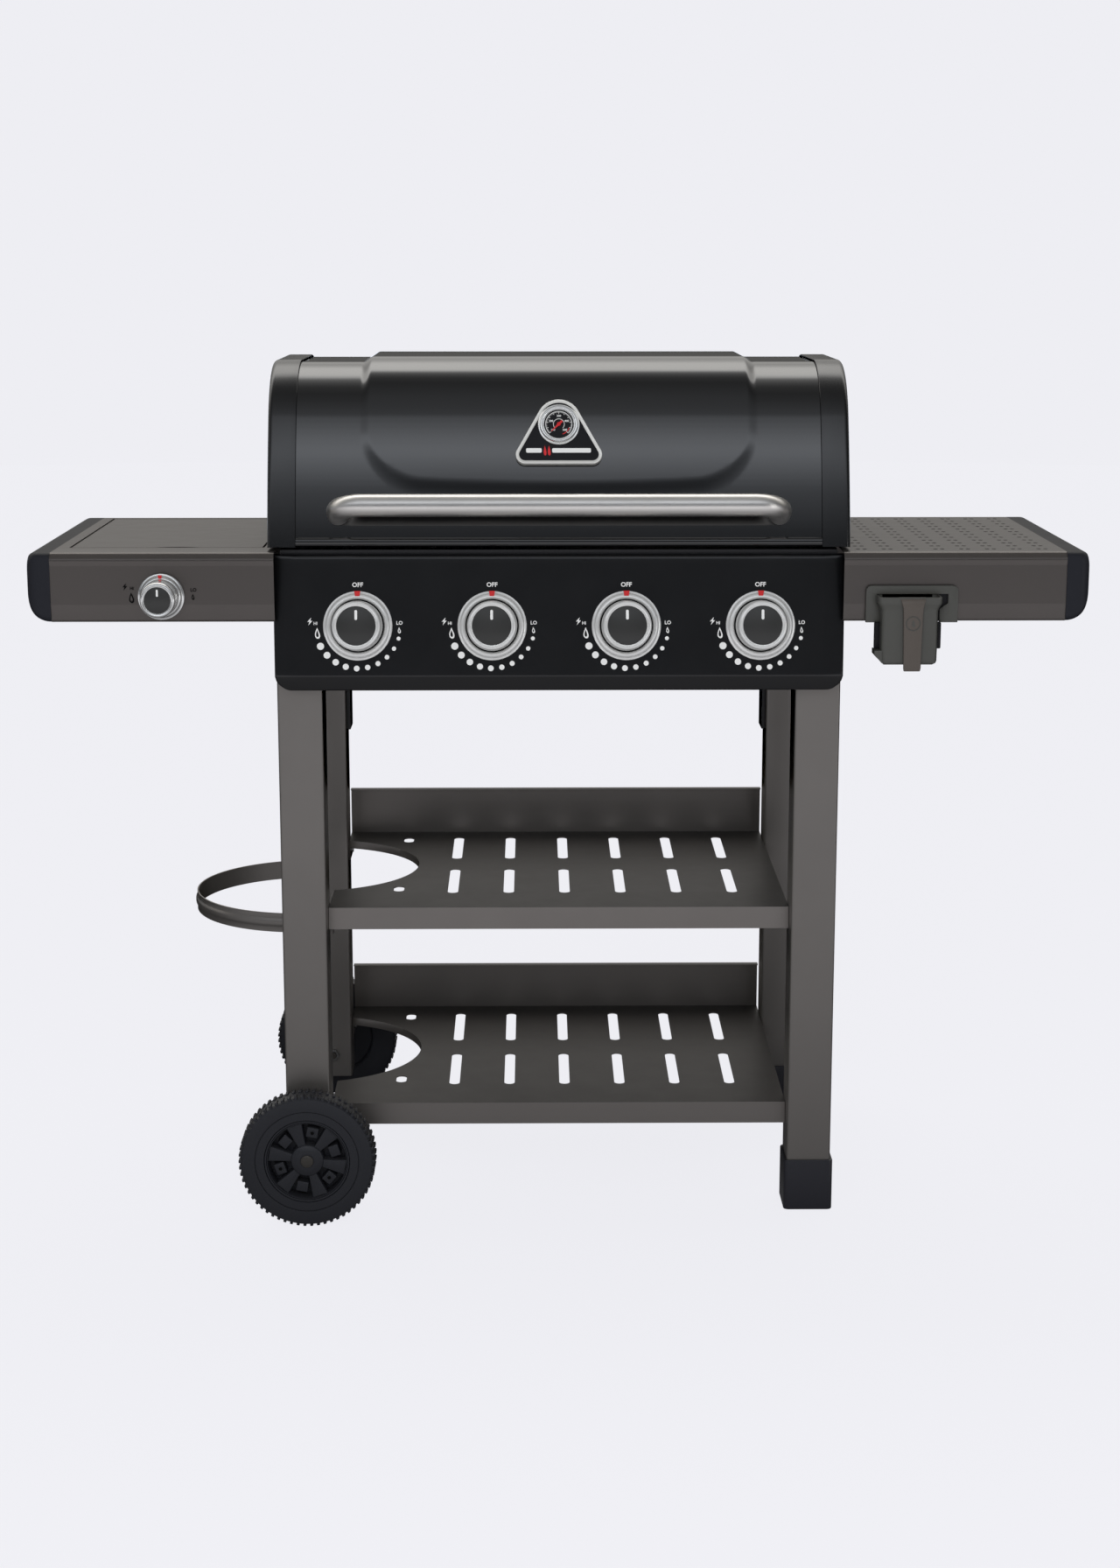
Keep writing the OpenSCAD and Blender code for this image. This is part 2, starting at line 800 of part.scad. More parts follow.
// Flat cover over the side burner, with a finger scoop in its front edge
module side_cover() {
    low = side_top - cover_flange;
    color(paint) difference() {
        block([cover_x[0], cover_y[0], low], [cover_x[1], cover_y[1], side_top]);
        block(
            [cover_x[0] + sheet, cover_y[0] + sheet, low - 1],
            [cover_x[1] - sheet, cover_y[1] - sheet, side_top - sheet]
        );
        block(
            [cover_x[0] + 12, cover_y[1] - 5, low - 1],
            [cover_x[1] - 12, cover_y[1] + 1, side_top - sheet]
        );
        bar_x(cover_x[0] - 1, cover_x[1] + 1, cover_pin[0], cover_pin[1], 2.5 + run_gap);
        translate([-482, cover_y[0] - 62, low - 1]) cylinder(h = cover_flange + 2, r = 68);
    }
}

// Turning stem of a valve
module stem_shape(back, front) {
    color(steel) translate([0, 0, -back]) cylinder(h = back + front, r = stem_r);
}

module valve_stem(i) {
    on_panel(burner_x[i]) stem_shape(15, 24);
}

module valve_stem_1() {
    valve_stem(0);
}

module valve_stem_2() {
    valve_stem(1);
}

module valve_stem_3() {
    valve_stem(2);
}

module valve_stem_4() {
    valve_stem(3);
}

module side_stem() {
    on_side_shelf() stem_shape(26, 24);
}

// Hollow knob with a blind bore that slides along its stem
module knob_shape(grip_r, dial_r) {
    hollow = grip_r - 3.6;
    color(chrome) rotate_extrude() polygon([
        [stem_r + run_gap, 7], [8, 7], [8, 31], [hollow, 31], [hollow, knob_lift], [grip_r + 0.9, knob_lift],
        [grip_r + 0.9, 9], [grip_r - 0.8, 14], [grip_r, knob_h - 4], [grip_r - 2.1, knob_h],
        [dial_r + 0.6, knob_h], [dial_r, knob_h - 1.2], [0, knob_h - 1.2], [0, 30], [stem_r + run_gap, 30]
    ]);
}

module knob(i) {
    on_panel(burner_x[i]) knob_shape(knob_r, 24.4);
}

module knob_1() {
    knob(0);
}

module knob_2() {
    knob(1);
}

module knob_3() {
    knob(2);
}

module knob_4() {
    knob(3);
}

module side_knob() {
    on_side_shelf() knob_shape(side_knob_r, 16);
}

// Side plates on the firebox with the pins on which the lid turns
module hinge_brackets() {
    plate = 3;
    color(black) for (side = [-1, 1]) {
        x = side * fire_x;
        across(min(x, x + side * plate), max(x, x + side * plate)) {
            translate([hinge_y, hinge_z]) circle(8);
            polygon([[192, 884], [200, 876], [180, 846], [150, 846], [150, 870]]);
        }
        bar_x(min(x, x + side * 12), max(x, x + side * 12), hinge_y, hinge_z, hinge_r);
    }
}

// Section through the closed lid, taken in by inset on every side and cut off below low
module lid_section(inset, low) {
    span = 400;
    intersection() {
        translate([-span, low]) square(2 * span);
        union() {
            translate([round_y, low]) square([lid_back_y - back_r - round_y, lid_top - inset - low]);
            translate([lid_back_y - back_r, lid_top - back_r]) circle(back_r - inset, $fn = 180);
            translate([lid_back_y - back_r - 1, low]) square([back_r + 1 - inset, lid_top - back_r - low]);
            translate([round_y, lid_top - round_r]) circle(round_r - inset, $fn = 180);
            intersection() {
                translate([face_cy, face_cz]) circle(face_r - inset, $fn = 720);
                translate([-span, low]) square([span + round_y + 1, join_z - low]);
            }
        }
    }
}

// The part of the lid's section that is cut away around the hinge
module hinge_notch() {
    translate([186, 0]) square([60, lid_bottom + 10]);
}

// Pressed lid skin with a raised middle panel and a rolled front edge
module lid_shell() {
    end = lid_end_in + 1.5;
    roll_r = 6.5;
    roll_z = lid_bottom + roll_r;
    roll_y = face_cy - sqrt(face_r * face_r - pow(roll_z - face_cz, 2)) + 4;
    color(black) difference() {
        union() {
            difference() {
                union() {
                    across(-end, end) lid_section(0, roll_z);
                    across(-panel_half, panel_half) lid_section(-lid_step, raised_z);
                }
                across(-end - 1, end + 1) lid_section(lid_wall, lid_bottom - 10);
                across(-panel_half + lid_wall, panel_half - lid_wall) {
                    lid_section(lid_wall - lid_step, raised_z + lid_wall);
                }
            }
            bar_x(-lid_end_in, lid_end_in, roll_y, roll_z, roll_r);
        }
        bar_x(-end - 1, end + 1, roll_y, roll_z, roll_r - lid_wall);
        across(-end - 1, end + 1) hinge_notch();
    }
}

// Pressed lid end, a hollow with a boss for the hinge pin
module lid_end() {
    floor_x = lid_x - 2;
    color(black) difference() {
        union() {
            difference() {
                across(lid_end_in, lid_x) lid_section(-lid_proud, lid_bottom);
                across(lid_end_in - 1, floor_x) lid_section(-0.1, lid_bottom - 10);
                across(lid_end_in - 1, lid_x + 1) hinge_notch();
            }
            bar_x(fire_x + 5, lid_x, hinge_y, hinge_z, 9);
            across(floor_x, lid_x) translate([186, lid_bottom]) square([22, 14]);
        }
        bar_x(fire_x + 4, floor_x, hinge_y, hinge_z, hinge_r + run_gap);
    }
}

module lid_left_end() {
    mirror([1, 0, 0]) lid_end();
}

module lid_right_end() {
    lid_end();
}

// Bent round handle with both ends on the lid, its bends a little fuller than the bar
module lid_handle() {
    bend = 28;
    half = 290 - handle_r - bend;
    dip = 20;
    reach = 17;
    front_y = -285 + handle_r;
    bar_r = handle_r - 0.2;
    lap = 0.5;
    color(chrome) translate([0, front_y, handle_z]) {
        bar_x(-half - lap, half + lap, 0, 0, bar_r);
        for (flip = [0, 1]) {
            mirror([flip, 0, 0]) translate([half, 0, 0]) rotate([-dip, 0, 0]) {
                translate([0, bend, 0]) rotate([0, 0, -90]) rotate_extrude(angle = 90) {
                    translate([bend, 0]) circle(handle_r);
                }
                bar_y(bend, bend - lap, bend + reach, 0, bar_r);
            }
        }
    }
}

// Rounded triangular plate on the lid
module name_plate() {
    half = 54;
    corner = 12;
    low = -39.5;
    high = 43.5;
    color(chrome) on_lid(plate_z) translate([0, 0, 0.2]) linear_extrude(plate_t) hull() {
        for (x = [-half + corner, half - corner]) {
            translate([x, low + corner]) circle(corner, $fn = 32);
        }
        translate([0, high - 22]) circle(22, $fn = 32);
    }
}

// Round housing of the temperature gauge
module gauge_case() {
    foot = plate_t + 0.45;
    color(chrome) on_lid(gauge_z) rotate_extrude() polygon([
        [0, foot], [12, foot], [12, foot + 0.35], [gauge_r, foot + 0.35], [gauge_r, 6],
        [gauge_r - 2, 8.5], [gauge_r - 4, 9], [19, 8], [18.5, 5], [1.06, 5], [1.06, 3.5], [0, 3.5]
    ]);
}

// Pointer of the temperature gauge, pointing down and left when cold
module gauge_pointer() {
    color("red") on_lid(gauge_z) {
        translate([0, 0, 3.8]) cylinder(h = 3, r = 1);
        rotate([0, 0, 225]) translate([-4, -0.6, 5.6]) cube([18, 1.2, 0.6]);
        translate([0, 0, 5.4]) cylinder(h = 1.2, r = 2.4);
    }
}

// Open cup with a long front tongue, which hangs on the right shelf
module accessory_cup() {
    back = side_front_y - gap;
    wall = 2;
    chamfer = 12;
    outline = [
        [cup_x[0], cup_z[1]], [cup_x[0], cup_z[0] + chamfer], [cup_x[0] + chamfer, cup_z[0]],
        [cup_x[1] - chamfer, cup_z[0]], [cup_x[1], cup_z[0] + chamfer], [cup_x[1], cup_z[1]]
    ];
    color(paint) {
        difference() {
            translate([0, back, 0]) rotate([90, 0, 0]) linear_extrude(back - cup_front_y) polygon(outline);
            block(
                [cup_x[0] + wall, cup_front_y + wall, cup_z[0] + chamfer],
                [cup_x[1] - wall, back - wall, cup_z[1] + 1]
            );
            block(
                [cup_x[0] + chamfer, cup_front_y + wall, cup_z[0] + wall],
                [cup_x[1] - chamfer, back - wall, cup_z[1] + 1]
            );
        }
        translate([0, back, 0]) rotate([90, 0, 0]) linear_extrude(4) {
            round_box([382, 789], [497, 835], 10);
        }
        mid = (cup_x[0] + cup_x[1]) / 2;
        translate([mid, cup_front_y, 0]) rotate([90, 0, 0]) linear_extrude(4) {
            polygon([[-14, 824], [-10.5, 742], [10.5, 742], [14, 824]]);
            translate([0, 742.5]) circle(10.5);
        }
    }
}

leg_front_left();
leg_front_right();
leg_rear_left();
leg_rear_right();
foot_caps();
leg_brackets();
upper_shelf();
lower_shelf();
frame_bolts();
cylinder_ring();
axle_bolts();
axle_spacers();
axle_nuts();
wheel_front();
wheel_rear();
firebox();
control_panel();
knob_bezels();
side_bezel();
valve_bodies();
side_valve();
gas_manifold();
gas_inlet();
main_burners();
flame_tamers();
igniters();
cooking_grate();
griddle_plate();
warming_rack();
tray_rails();
drip_tray();
left_shelf();
right_shelf();
left_end_cap();
right_end_cap();
shelf_supports();
burner_bowl();
side_burner();
pan_support();
cover_pins();
side_cover();
valve_stem_1();
valve_stem_2();
valve_stem_3();
valve_stem_4();
side_stem();
knob_1();
knob_2();
knob_3();
knob_4();
side_knob();
hinge_brackets();
lid_shell();
lid_left_end();
lid_right_end();
lid_handle();
name_plate();
gauge_case();
gauge_pointer();
accessory_cup();
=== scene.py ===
import math

import bmesh
import bpy
from mathutils import Matrix, Vector


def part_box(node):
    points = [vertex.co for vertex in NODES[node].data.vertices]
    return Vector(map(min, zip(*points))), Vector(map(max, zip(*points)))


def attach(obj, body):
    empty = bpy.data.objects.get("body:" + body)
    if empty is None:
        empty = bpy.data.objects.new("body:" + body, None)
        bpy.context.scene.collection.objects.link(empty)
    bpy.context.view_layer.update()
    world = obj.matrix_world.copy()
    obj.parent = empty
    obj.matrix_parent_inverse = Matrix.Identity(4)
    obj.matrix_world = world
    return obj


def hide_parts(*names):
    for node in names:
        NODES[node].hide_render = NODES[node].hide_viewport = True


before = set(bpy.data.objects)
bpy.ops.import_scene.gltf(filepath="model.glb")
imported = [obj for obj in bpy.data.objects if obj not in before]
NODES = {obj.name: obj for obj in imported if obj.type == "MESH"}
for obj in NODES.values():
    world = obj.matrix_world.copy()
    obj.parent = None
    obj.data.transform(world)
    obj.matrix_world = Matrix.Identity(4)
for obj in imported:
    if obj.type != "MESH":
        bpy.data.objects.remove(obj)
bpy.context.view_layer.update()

MM = 0.001
# Points closer than this are merged, and CAD faces larger than this stay flat, in metres
MERGE = 0.00001
LARGE_FACE = 0.00006

# ---------------------------------------------------------------- sizes, in millimetres


def box_mm(node):
    """Lowest and highest corner of a CAD node, in millimetres."""
    low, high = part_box(node)
    return low / MM, high / MM


SHELL_END = -box_mm("lid_shell")[0].x
END_LOW, END_HIGH = box_mm("lid_right_end")
PANEL_LOW, PANEL_HIGH = box_mm("control_panel")
KNOB_XS = [sum(c[0] for c in box_mm(f"knob_{i}")) / 2 for i in (1, 2, 3, 4)]
SIDE_LOW, SIDE_HIGH = box_mm("right_shelf")
CAP_LOW, CAP_HIGH = box_mm("right_end_cap")

# The closed lid in section: a long front arc, a tight top arc, a flat top and a rear arc
LID_TOP = END_HIGH.z - 3
LID_STEP = 7.0
FACE_R = 900.0
ROUND_R = 104.0
ROUND_Y = -93.6
BACK_R = 150.0
LID_BACK_Y = 212.0
FACE_LEAN = math.radians(22)
JOIN = (ROUND_Y - ROUND_R * math.cos(FACE_LEAN), LID_TOP - ROUND_R * (1 - math.sin(FACE_LEAN)))
FACE_CENTRE = (JOIN[0] + FACE_R * math.cos(FACE_LEAN), JOIN[1] - FACE_R * math.sin(FACE_LEAN))
LID_BOTTOM = 880.0
LID_ROLL_R = 6.5
HINGE = (200.0, 884.0)
BOSS_X = 355.0
HANDLE_Z = 936.0
PLATE_Z = 1019.0
GAUGE_Z = 1029.0

# The control panel in section
PANEL_TOP_Y = -240.0
PANEL_BEND = (-262.0, 721.0)
PANEL_LEAN = math.atan((PANEL_TOP_Y - PANEL_BEND[0]) / (PANEL_HIGH.z - PANEL_BEND[1]))
KNOB_Z = 783.5
KNOB_Y = PANEL_BEND[0] + (KNOB_Z - PANEL_BEND[1]) * math.tan(PANEL_LEAN)
SIDE_KNOB = (-495.0, SIDE_LOW.y, 822.0)

RING_CENTRE = (-345.0, 40.0)
RING_R = 153.0
AXLE = (-327.0, 88.5)
# How far the wheel's lugs stand out of the tread, and how many make a row
LUG = 1.7
LUG_COUNT = 62
TONGUE_X = 437.0


def srgb(red, green, blue):
    """Linear colour with alpha from 0-255 display values."""
    def linear(value):
        value /= 255
        return value / 12.92 if value <= 0.04045 else ((value + 0.055) / 1.055) ** 2.4
    return (linear(red), linear(green), linear(blue), 1.0)


# ---------------------------------------------------------------- shader groups


FLOAT, VECTOR, COLOUR = "NodeSocketFloat", "NodeSocketVector", "NodeSocketColor"


def new_group(name, kind, inputs, outputs):
    """An empty node group with the named sockets, and its input and output nodes."""
    group = bpy.data.node_groups.new(name, kind)
    for label, socket_kind, value in inputs:
        socket = group.interface.new_socket(label, in_out="INPUT", socket_type=socket_kind)
        if value is not None:
            socket.default_value = value
    for label, socket_kind in outputs:
        group.interface.new_socket(label, in_out="OUTPUT", socket_type=socket_kind)
    return group, group.nodes.new("NodeGroupInput"), group.nodes.new("NodeGroupOutput")


def feed(tree, socket, value):
    """Links a socket to another one, or sets it to a plain value."""
    if isinstance(value, bpy.types.NodeSocket):
        tree.links.new(value, socket)
    elif value is not None:
        socket.default_value = value


def math_node(tree, operation, first, second=None, clamp=False):
    """A Math node whose inputs are sockets or numbers; returns its output."""
    node = tree.nodes.new("ShaderNodeMath")
    node.operation = operation
    node.use_clamp = clamp
    feed(tree, node.inputs[0], first)
    feed(tree, node.inputs[1], second)
    return node.outputs[0]


def times(tree, first, second):
    """The product of two sockets or numbers."""
    return math_node(tree, "MULTIPLY", first, second)


def plus(tree, first, second):
    """Their sum."""
    return math_node(tree, "ADD", first, second)


def minus(tree, first, second):
    """Their difference."""
    return math_node(tree, "SUBTRACT", first, second)


def scaled(tree, vector, factor):
    """A colour or vector times a number."""
    node = tree.nodes.new("ShaderNodeVectorMath")
    node.operation = "SCALE"
    feed(tree, node.inputs[0], vector)
    feed(tree, node.inputs["Scale"], factor)
    return node.outputs[0]


def mixed(tree, factor, first, second):
    """A colour between two others."""
    node = tree.nodes.new("ShaderNodeMix")
    node.data_type = "RGBA"
    for label, value in (("Factor", factor), ("A", first), ("B", second)):
        feed(tree, node.inputs[label], value)
    return node.outputs["Result"]


def axes(tree, vector):
    """The X, Y and Z of a vector."""
    node = tree.nodes.new("ShaderNodeSeparateXYZ")
    tree.links.new(vector, node.inputs[0])
    return node.outputs


def combined(tree, **parts):
    """A vector from its X, Y and Z; an axis that isn't given is 0."""
    node = tree.nodes.new("ShaderNodeCombineXYZ")
    for axis, value in parts.items():
        tree.links.new(value, node.inputs[axis])
    return node.outputs[0]


def noise_node(tree, vector, scale, detail, roughness=0.5):
    """A Noise texture; returns its factor output."""
    node = tree.nodes.new("ShaderNodeTexNoise")
    given = {"Vector": vector, "Scale": scale, "Detail": detail, "Roughness": roughness}
    for label, value in given.items():
        feed(tree, node.inputs[label], value)
    return node.outputs["Fac"]


def build_coating_group():
    """Paint, plastic or metal skin: tone drift, roughness drift, fine grain, dust on upward faces and painted
    shade that darkens upward faces.
    """
    group, source, target = new_group(
        "Coating", "ShaderNodeTree",
        [
            ("Vector", VECTOR, None), ("Base", COLOUR, (0.1, 0.1, 0.1, 1)), ("Tone Drift", FLOAT, 0.1),
            ("Roughness", FLOAT, 0.3), ("Roughness Drift", FLOAT, 0.1), ("Grain Scale", FLOAT, 900.0),
            ("Dust", FLOAT, 0.0), ("Upward Tone", FLOAT, 1.0),
        ],
        [("Color", COLOUR), ("Roughness", FLOAT), ("Height", FLOAT)],
    )
    given = source.outputs
    cloud = noise_node(group, given["Vector"], 5.0, 4.0, 0.6)
    fine = noise_node(group, given["Vector"], given["Grain Scale"], 2.0)
    smear = noise_node(group, given["Vector"], 23.0, 5.0, 0.65)
    drift = times(group, minus(group, cloud, 0.5), given["Tone Drift"])
    speck = times(group, minus(group, fine, 0.5), 0.25)
    speckled = times(group, speck, given["Tone Drift"])
    factor = plus(group, plus(group, drift, speckled), 1.0)
    normal = group.nodes.new("ShaderNodeNewGeometry").outputs["Normal"]
    upward = math_node(group, "POWER", math_node(group, "MAXIMUM", axes(group, normal)["Z"], 0.0), 3.0)
    # Painted shade: an Upward Tone below 1 darkens the upward faces.
    top_shade_factor = times(group, upward, minus(group, given["Upward Tone"], 1.0))
    factor = times(group, factor, plus(group, top_shade_factor, 1.0))
    patch = times(group, upward, times(group, smear, given["Dust"]))
    dusty = mixed(group, patch, scaled(group, given["Base"], factor), srgb(150, 146, 140))
    rough_drift = times(group, minus(group, smear, 0.5), given["Roughness Drift"])
    rough = plus(group, given["Roughness"], rough_drift)
    rough = math_node(group, "ADD", rough, times(group, patch, 0.5), clamp=True)
    for label, value in (("Color", dusty), ("Roughness", rough), ("Height", fine)):
        group.links.new(value, target.inputs[label])
    return group


def build_brushed_group():
    """Fine lines along one direction, from coordinates stretched across it."""
    group, source, target = new_group(
        "Brushed lines", "ShaderNodeTree",
        [
            ("Vector", VECTOR, None), ("Stretch", VECTOR, (8.0, 900.0, 900.0)),
            ("Roughness", FLOAT, 0.2), ("Spread", FLOAT, 0.15),
        ],
        [("Roughness", FLOAT), ("Height", FLOAT)],
    )
    given = source.outputs
    stretched = group.nodes.new("ShaderNodeVectorMath")
    stretched.operation = "MULTIPLY"
    group.links.new(given["Vector"], stretched.inputs[0])
    group.links.new(given["Stretch"], stretched.inputs[1])
    lines = noise_node(group, stretched.outputs[0], 1.0, 3.0, 0.6)
    spread = times(group, minus(group, lines, 0.5), given["Spread"])
    rough = math_node(group, "ADD", given["Roughness"], spread, clamp=True)
    group.links.new(rough, target.inputs["Roughness"])
    group.links.new(lines, target.inputs["Height"])
    return group


COATING = build_coating_group()
BRUSHED = build_brushed_group()


# ---------------------------------------------------------------- materials


def blank_material(name):
    """A new material, its node tree, its shader and its Object coordinates."""
    material = bpy.data.materials.new(name)
    material.use_nodes = True
    tree = material.node_tree
    shader = tree.nodes["Principled BSDF"]
    coordinates = tree.nodes.new("ShaderNodeTexCoord").outputs["Object"]
    return material, tree, shader, coordinates


def add_bump(tree, shader, height, strength, distance):
    """A Bump node from height to the shader's normal."""
    bump = tree.nodes.new("ShaderNodeBump")
    bump.inputs["Strength"].default_value = strength
    bump.inputs["Distance"].default_value = distance
    tree.links.new(height, bump.inputs["Height"])
    tree.links.new(bump.outputs["Normal"], shader.inputs["Normal"])


def add_group(tree, group, coordinates, **values):
    """A group node fed with the coordinates and with the values named."""
    node = tree.nodes.new("ShaderNodeGroup")
    node.node_tree = group
    tree.links.new(coordinates, node.inputs["Vector"])
    for label, value in values.items():
        feed(tree, node.inputs[label.replace("_", " ")], value)
    return node


def clad(material, shader, skin, base, metallic):
    """Joins a Coating node to a material's shader."""
    for label, output in (("Base Color", "Color"), ("Roughness", "Roughness")):
        material.node_tree.links.new(skin.outputs[output], shader.inputs[label])
    shader.inputs["Metallic"].default_value = metallic
    material.diffuse_color = base
    return material


def coated(name, base, rough, tone=0.1, drift=0.08, grain=900.0, bump=0.15, depth=0.00008,
           metallic=0.0, coat=0.0, coat_rough=0.05, dust=0.0, specular=0.5, upward=1.0):
    """A painted, moulded or cast skin made with the Coating group."""
    material, tree, shader, coordinates = blank_material(name)
    # An upward value below 1 is painted shade: it darkens the upward faces.
    skin = add_group(tree, COATING, coordinates, Base=base, Tone_Drift=tone, Roughness=rough,
                     Roughness_Drift=drift, Grain_Scale=grain, Dust=dust, Upward_Tone=upward)
    shader.inputs["Coat Weight"].default_value = coat
    shader.inputs["Coat Roughness"].default_value = coat_rough
    shader.inputs["Specular IOR Level"].default_value = specular
    add_bump(tree, shader, skin.outputs["Height"], bump, depth)
    return clad(material, shader, skin, base, metallic)


def polished(name, base, rough, spread, stretch, bump=0.05, metallic=1.0):
    """A bare metal with fine lines made with the Brushed lines group."""
    material, tree, shader, coordinates = blank_material(name)
    lines = add_group(tree, BRUSHED, coordinates, Stretch=stretch, Roughness=rough, Spread=spread)
    skin = add_group(tree, COATING, coordinates, Base=base, Tone_Drift=0.12,
                     Roughness=lines.outputs["Roughness"], Roughness_Drift=0.06)
    add_bump(tree, shader, lines.outputs["Height"], bump, 0.00003)
    return clad(material, shader, skin, base, metallic)


POWDER = {"tone": 0.12, "drift": 0.1, "grain": 1400, "bump": 0.25}
ENAMEL = {"tone": 0.2, "grain": 260}
MOULDED = {"tone": 0.12, "drift": 0.1, "bump": 0.4, "depth": 0.0001}
PRINTED = {"grain": 2500, "bump": 0.1}
EVEN = (60, 60, 60)
SCOURED = (300, 300, 300)

GREY_PAINT = coated("grey_powder_coat", srgb(128, 124, 120), 0.4, metallic=0.75, coat=0.25,
                    coat_rough=0.25, dust=0.03, **POWDER)
# Grey powder coat with painted shade: upward=0.2 darkens the racks' upward faces, as if shaded by the grill
# above.
RACK_PAINT_TOP_SHADED = coated("rack_powder_coat_top_shaded", srgb(140, 135, 131), 0.4, metallic=0.85, coat=0.1,
                    coat_rough=0.3, upward=0.2, **POWDER)
SHELF_PAINT = coated("shelf_powder_coat", srgb(88, 83, 80), 0.36, metallic=0.7, coat=0.3,
                     coat_rough=0.22, dust=0.04, **POWDER)
PANEL_PAINT = coated("panel_satin_black", srgb(8, 8, 10), 0.3, tone=0.2, drift=0.1, grain=1600,
                     bump=0.2, coat=0.35, coat_rough=0.18)
LID_ENAMEL = coated("lid_gloss_enamel", srgb(7, 7, 8), 0.11, drift=0.03, bump=0.04, depth=0.00002,
                    coat=1.0, coat_rough=0.04, **ENAMEL)
END_ENAMEL = coated("lid_end_enamel", srgb(9, 9, 10), 0.22, drift=0.06, bump=0.05, depth=0.00003,
                    coat=0.5, coat_rough=0.1, **ENAMEL)
BODY_BLACK = coated("firebox_black", srgb(26, 26, 28), 0.42, tone=0.25, drift=0.15, grain=1200, bump=0.25)
# Moulded plastic with painted shade: upward=0.6 darkens the caps' upward faces.
CAP_PLASTIC_TOP_SHADED = coated("end_cap_plastic_top_shaded", srgb(33, 34, 40), 0.5, grain=2200, specular=0.22, upward=0.6,
                     **MOULDED)
WHEEL_PLASTIC = coated("wheel_plastic", srgb(33, 34, 39), 0.42, tone=0.2, drift=0.15, grain=1500,
                       bump=0.4, depth=0.0001, dust=0.05)
FOOT_PLASTIC = coated("foot_plastic", srgb(35, 35, 41), 0.4, grain=2200, **MOULDED)
CUP_PLASTIC = coated("cup_plastic", srgb(73, 73, 69), 0.42, grain=2000, **MOULDED)
CUP_STRAP = coated("cup_strap", srgb(84, 77, 71), 0.42, grain=2000, **MOULDED)
CHROME = polished("knob_chrome", srgb(238, 238, 236), 0.24, 0.08, EVEN, bump=0.02, metallic=0.45)
BRIGHT_CHROME = polished("bright_chrome", srgb(236, 236, 234), 0.2, 0.08, EVEN, bump=0.02, metallic=0.85)
TUBE_STEEL = polished("handle_stainless", srgb(240, 237, 232), 0.36, 0.14, (14, 900, 900), bump=0.12)
SHEET_STEEL = polished("stainless_sheet", srgb(170, 170, 168), 0.3, 0.2, (900, 12, 900), bump=0.1)
ZINC = polished("zinc_plate", srgb(150, 150, 148), 0.35, 0.2, SCOURED, bump=0.1)
BRASS = polished("valve_brass", srgb(181, 150, 86), 0.3, 0.2, SCOURED, bump=0.1)
CAST_IRON = coated("cast_iron", srgb(33, 32, 32), 0.6, tone=0.35, drift=0.2, grain=700, bump=0.6,
                   depth=0.0003)
CERAMIC = coated("igniter_ceramic", srgb(226, 222, 212), 0.25, tone=0.08, grain=900, bump=0.1)
DIAL_BLACK = coated("dial_black", srgb(24, 24, 27), 0.45, tone=0.1, grain=1800, bump=0.15, specular=0.2)
KNOB_FACE = coated("knob_face", srgb(47, 47, 46), 0.36, tone=0.1, drift=0.1, grain=2600, bump=0.25)
PRINT_WHITE = coated("printed_white", srgb(240, 240, 238), 0.5, tone=0.05, **PRINTED)
# Black for print, also used as painted shade in the shelf holes, the wheels' screw holes and the burner
# ports.
PRINT_AND_SHADE_BLACK = coated("print_and_shade_black", srgb(9, 9, 9), 0.6, tone=0.1, specular=0.1, **PRINTED)
RED_PAINT = coated("pointer_red", srgb(205, 30, 34), 0.4, tone=0.08, grain=2000, bump=0.1)
PLATE_RIM = coated("plate_rim", srgb(228, 227, 222), 0.32, tone=0.08, grain=1500, metallic=0.35)
AXLE_STEEL = coated("axle_head", srgb(62, 59, 55), 0.4, tone=0.15, grain=1500, bump=0.2, metallic=0.3)


# ---------------------------------------------------------------- mesh helpers


def moved(x, y, z):
    """A shift, in millimetres."""
    return Matrix.Translation(Vector((x, y, z)) * MM)


def turned(degrees, axis):
    """A turn round an axis through the origin."""
    return Matrix.Rotation(math.radians(degrees), 4, axis)


def new_object(name, mesh):
    """An object with the mesh, linked to the scene."""
    obj = bpy.data.objects.new(name, mesh)
    bpy.context.scene.collection.objects.link(obj)
    return obj


def plain_mesh(obj):
    """An object's mesh after its modifiers."""
    graph = bpy.context.evaluated_depsgraph_get()
    return bpy.data.meshes.new_from_object(obj.evaluated_get(graph))


def edit_mesh(obj, change):
    """Opens an object's mesh, runs change on it and writes it back."""
    shape = bmesh.new()
    shape.from_mesh(obj.data)
    change(shape)
    shape.to_mesh(obj.data)
    shape.free()
    return obj


def shade(obj, angle=35.0):
    """Smooth faces, with creases where two faces meet at more than angle degrees."""
    def crease(shape):
        for face in shape.faces:
            face.smooth = True
        for edge in shape.edges:
            edge.smooth = len(edge.link_faces) == 2 and edge.calc_face_angle() < math.radians(angle)
    return edit_mesh(obj, crease)


def face_outward(shape):
    """Merges doubles and turns every face outward."""
    bmesh.ops.remove_doubles(shape, verts=shape.verts, dist=MERGE)
    bmesh.ops.recalc_face_normals(shape, faces=shape.faces)


def piece(name, points, faces, angle=35.0, place=None):
    """A mesh object from points in millimetres, moved by place if it is given."""
    mesh = bpy.data.meshes.new(name)
    corners = [Vector(p) * MM for p in points]
    if place is not None:
        corners = [place @ p for p in corners]
    mesh.from_pydata([tuple(p) for p in corners], [], faces)
    return shade(edit_mesh(new_object(name, mesh), face_outward), angle)


def dress(obj, material, body, slot, *replaced):
    """Gives a piece its material and body and hides the CAD nodes that it stands for; slot is not used."""
    obj.data.materials.clear()
    obj.data.materials.append(material)
    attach(obj, body)
    if replaced:
        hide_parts(*replaced)
    return obj


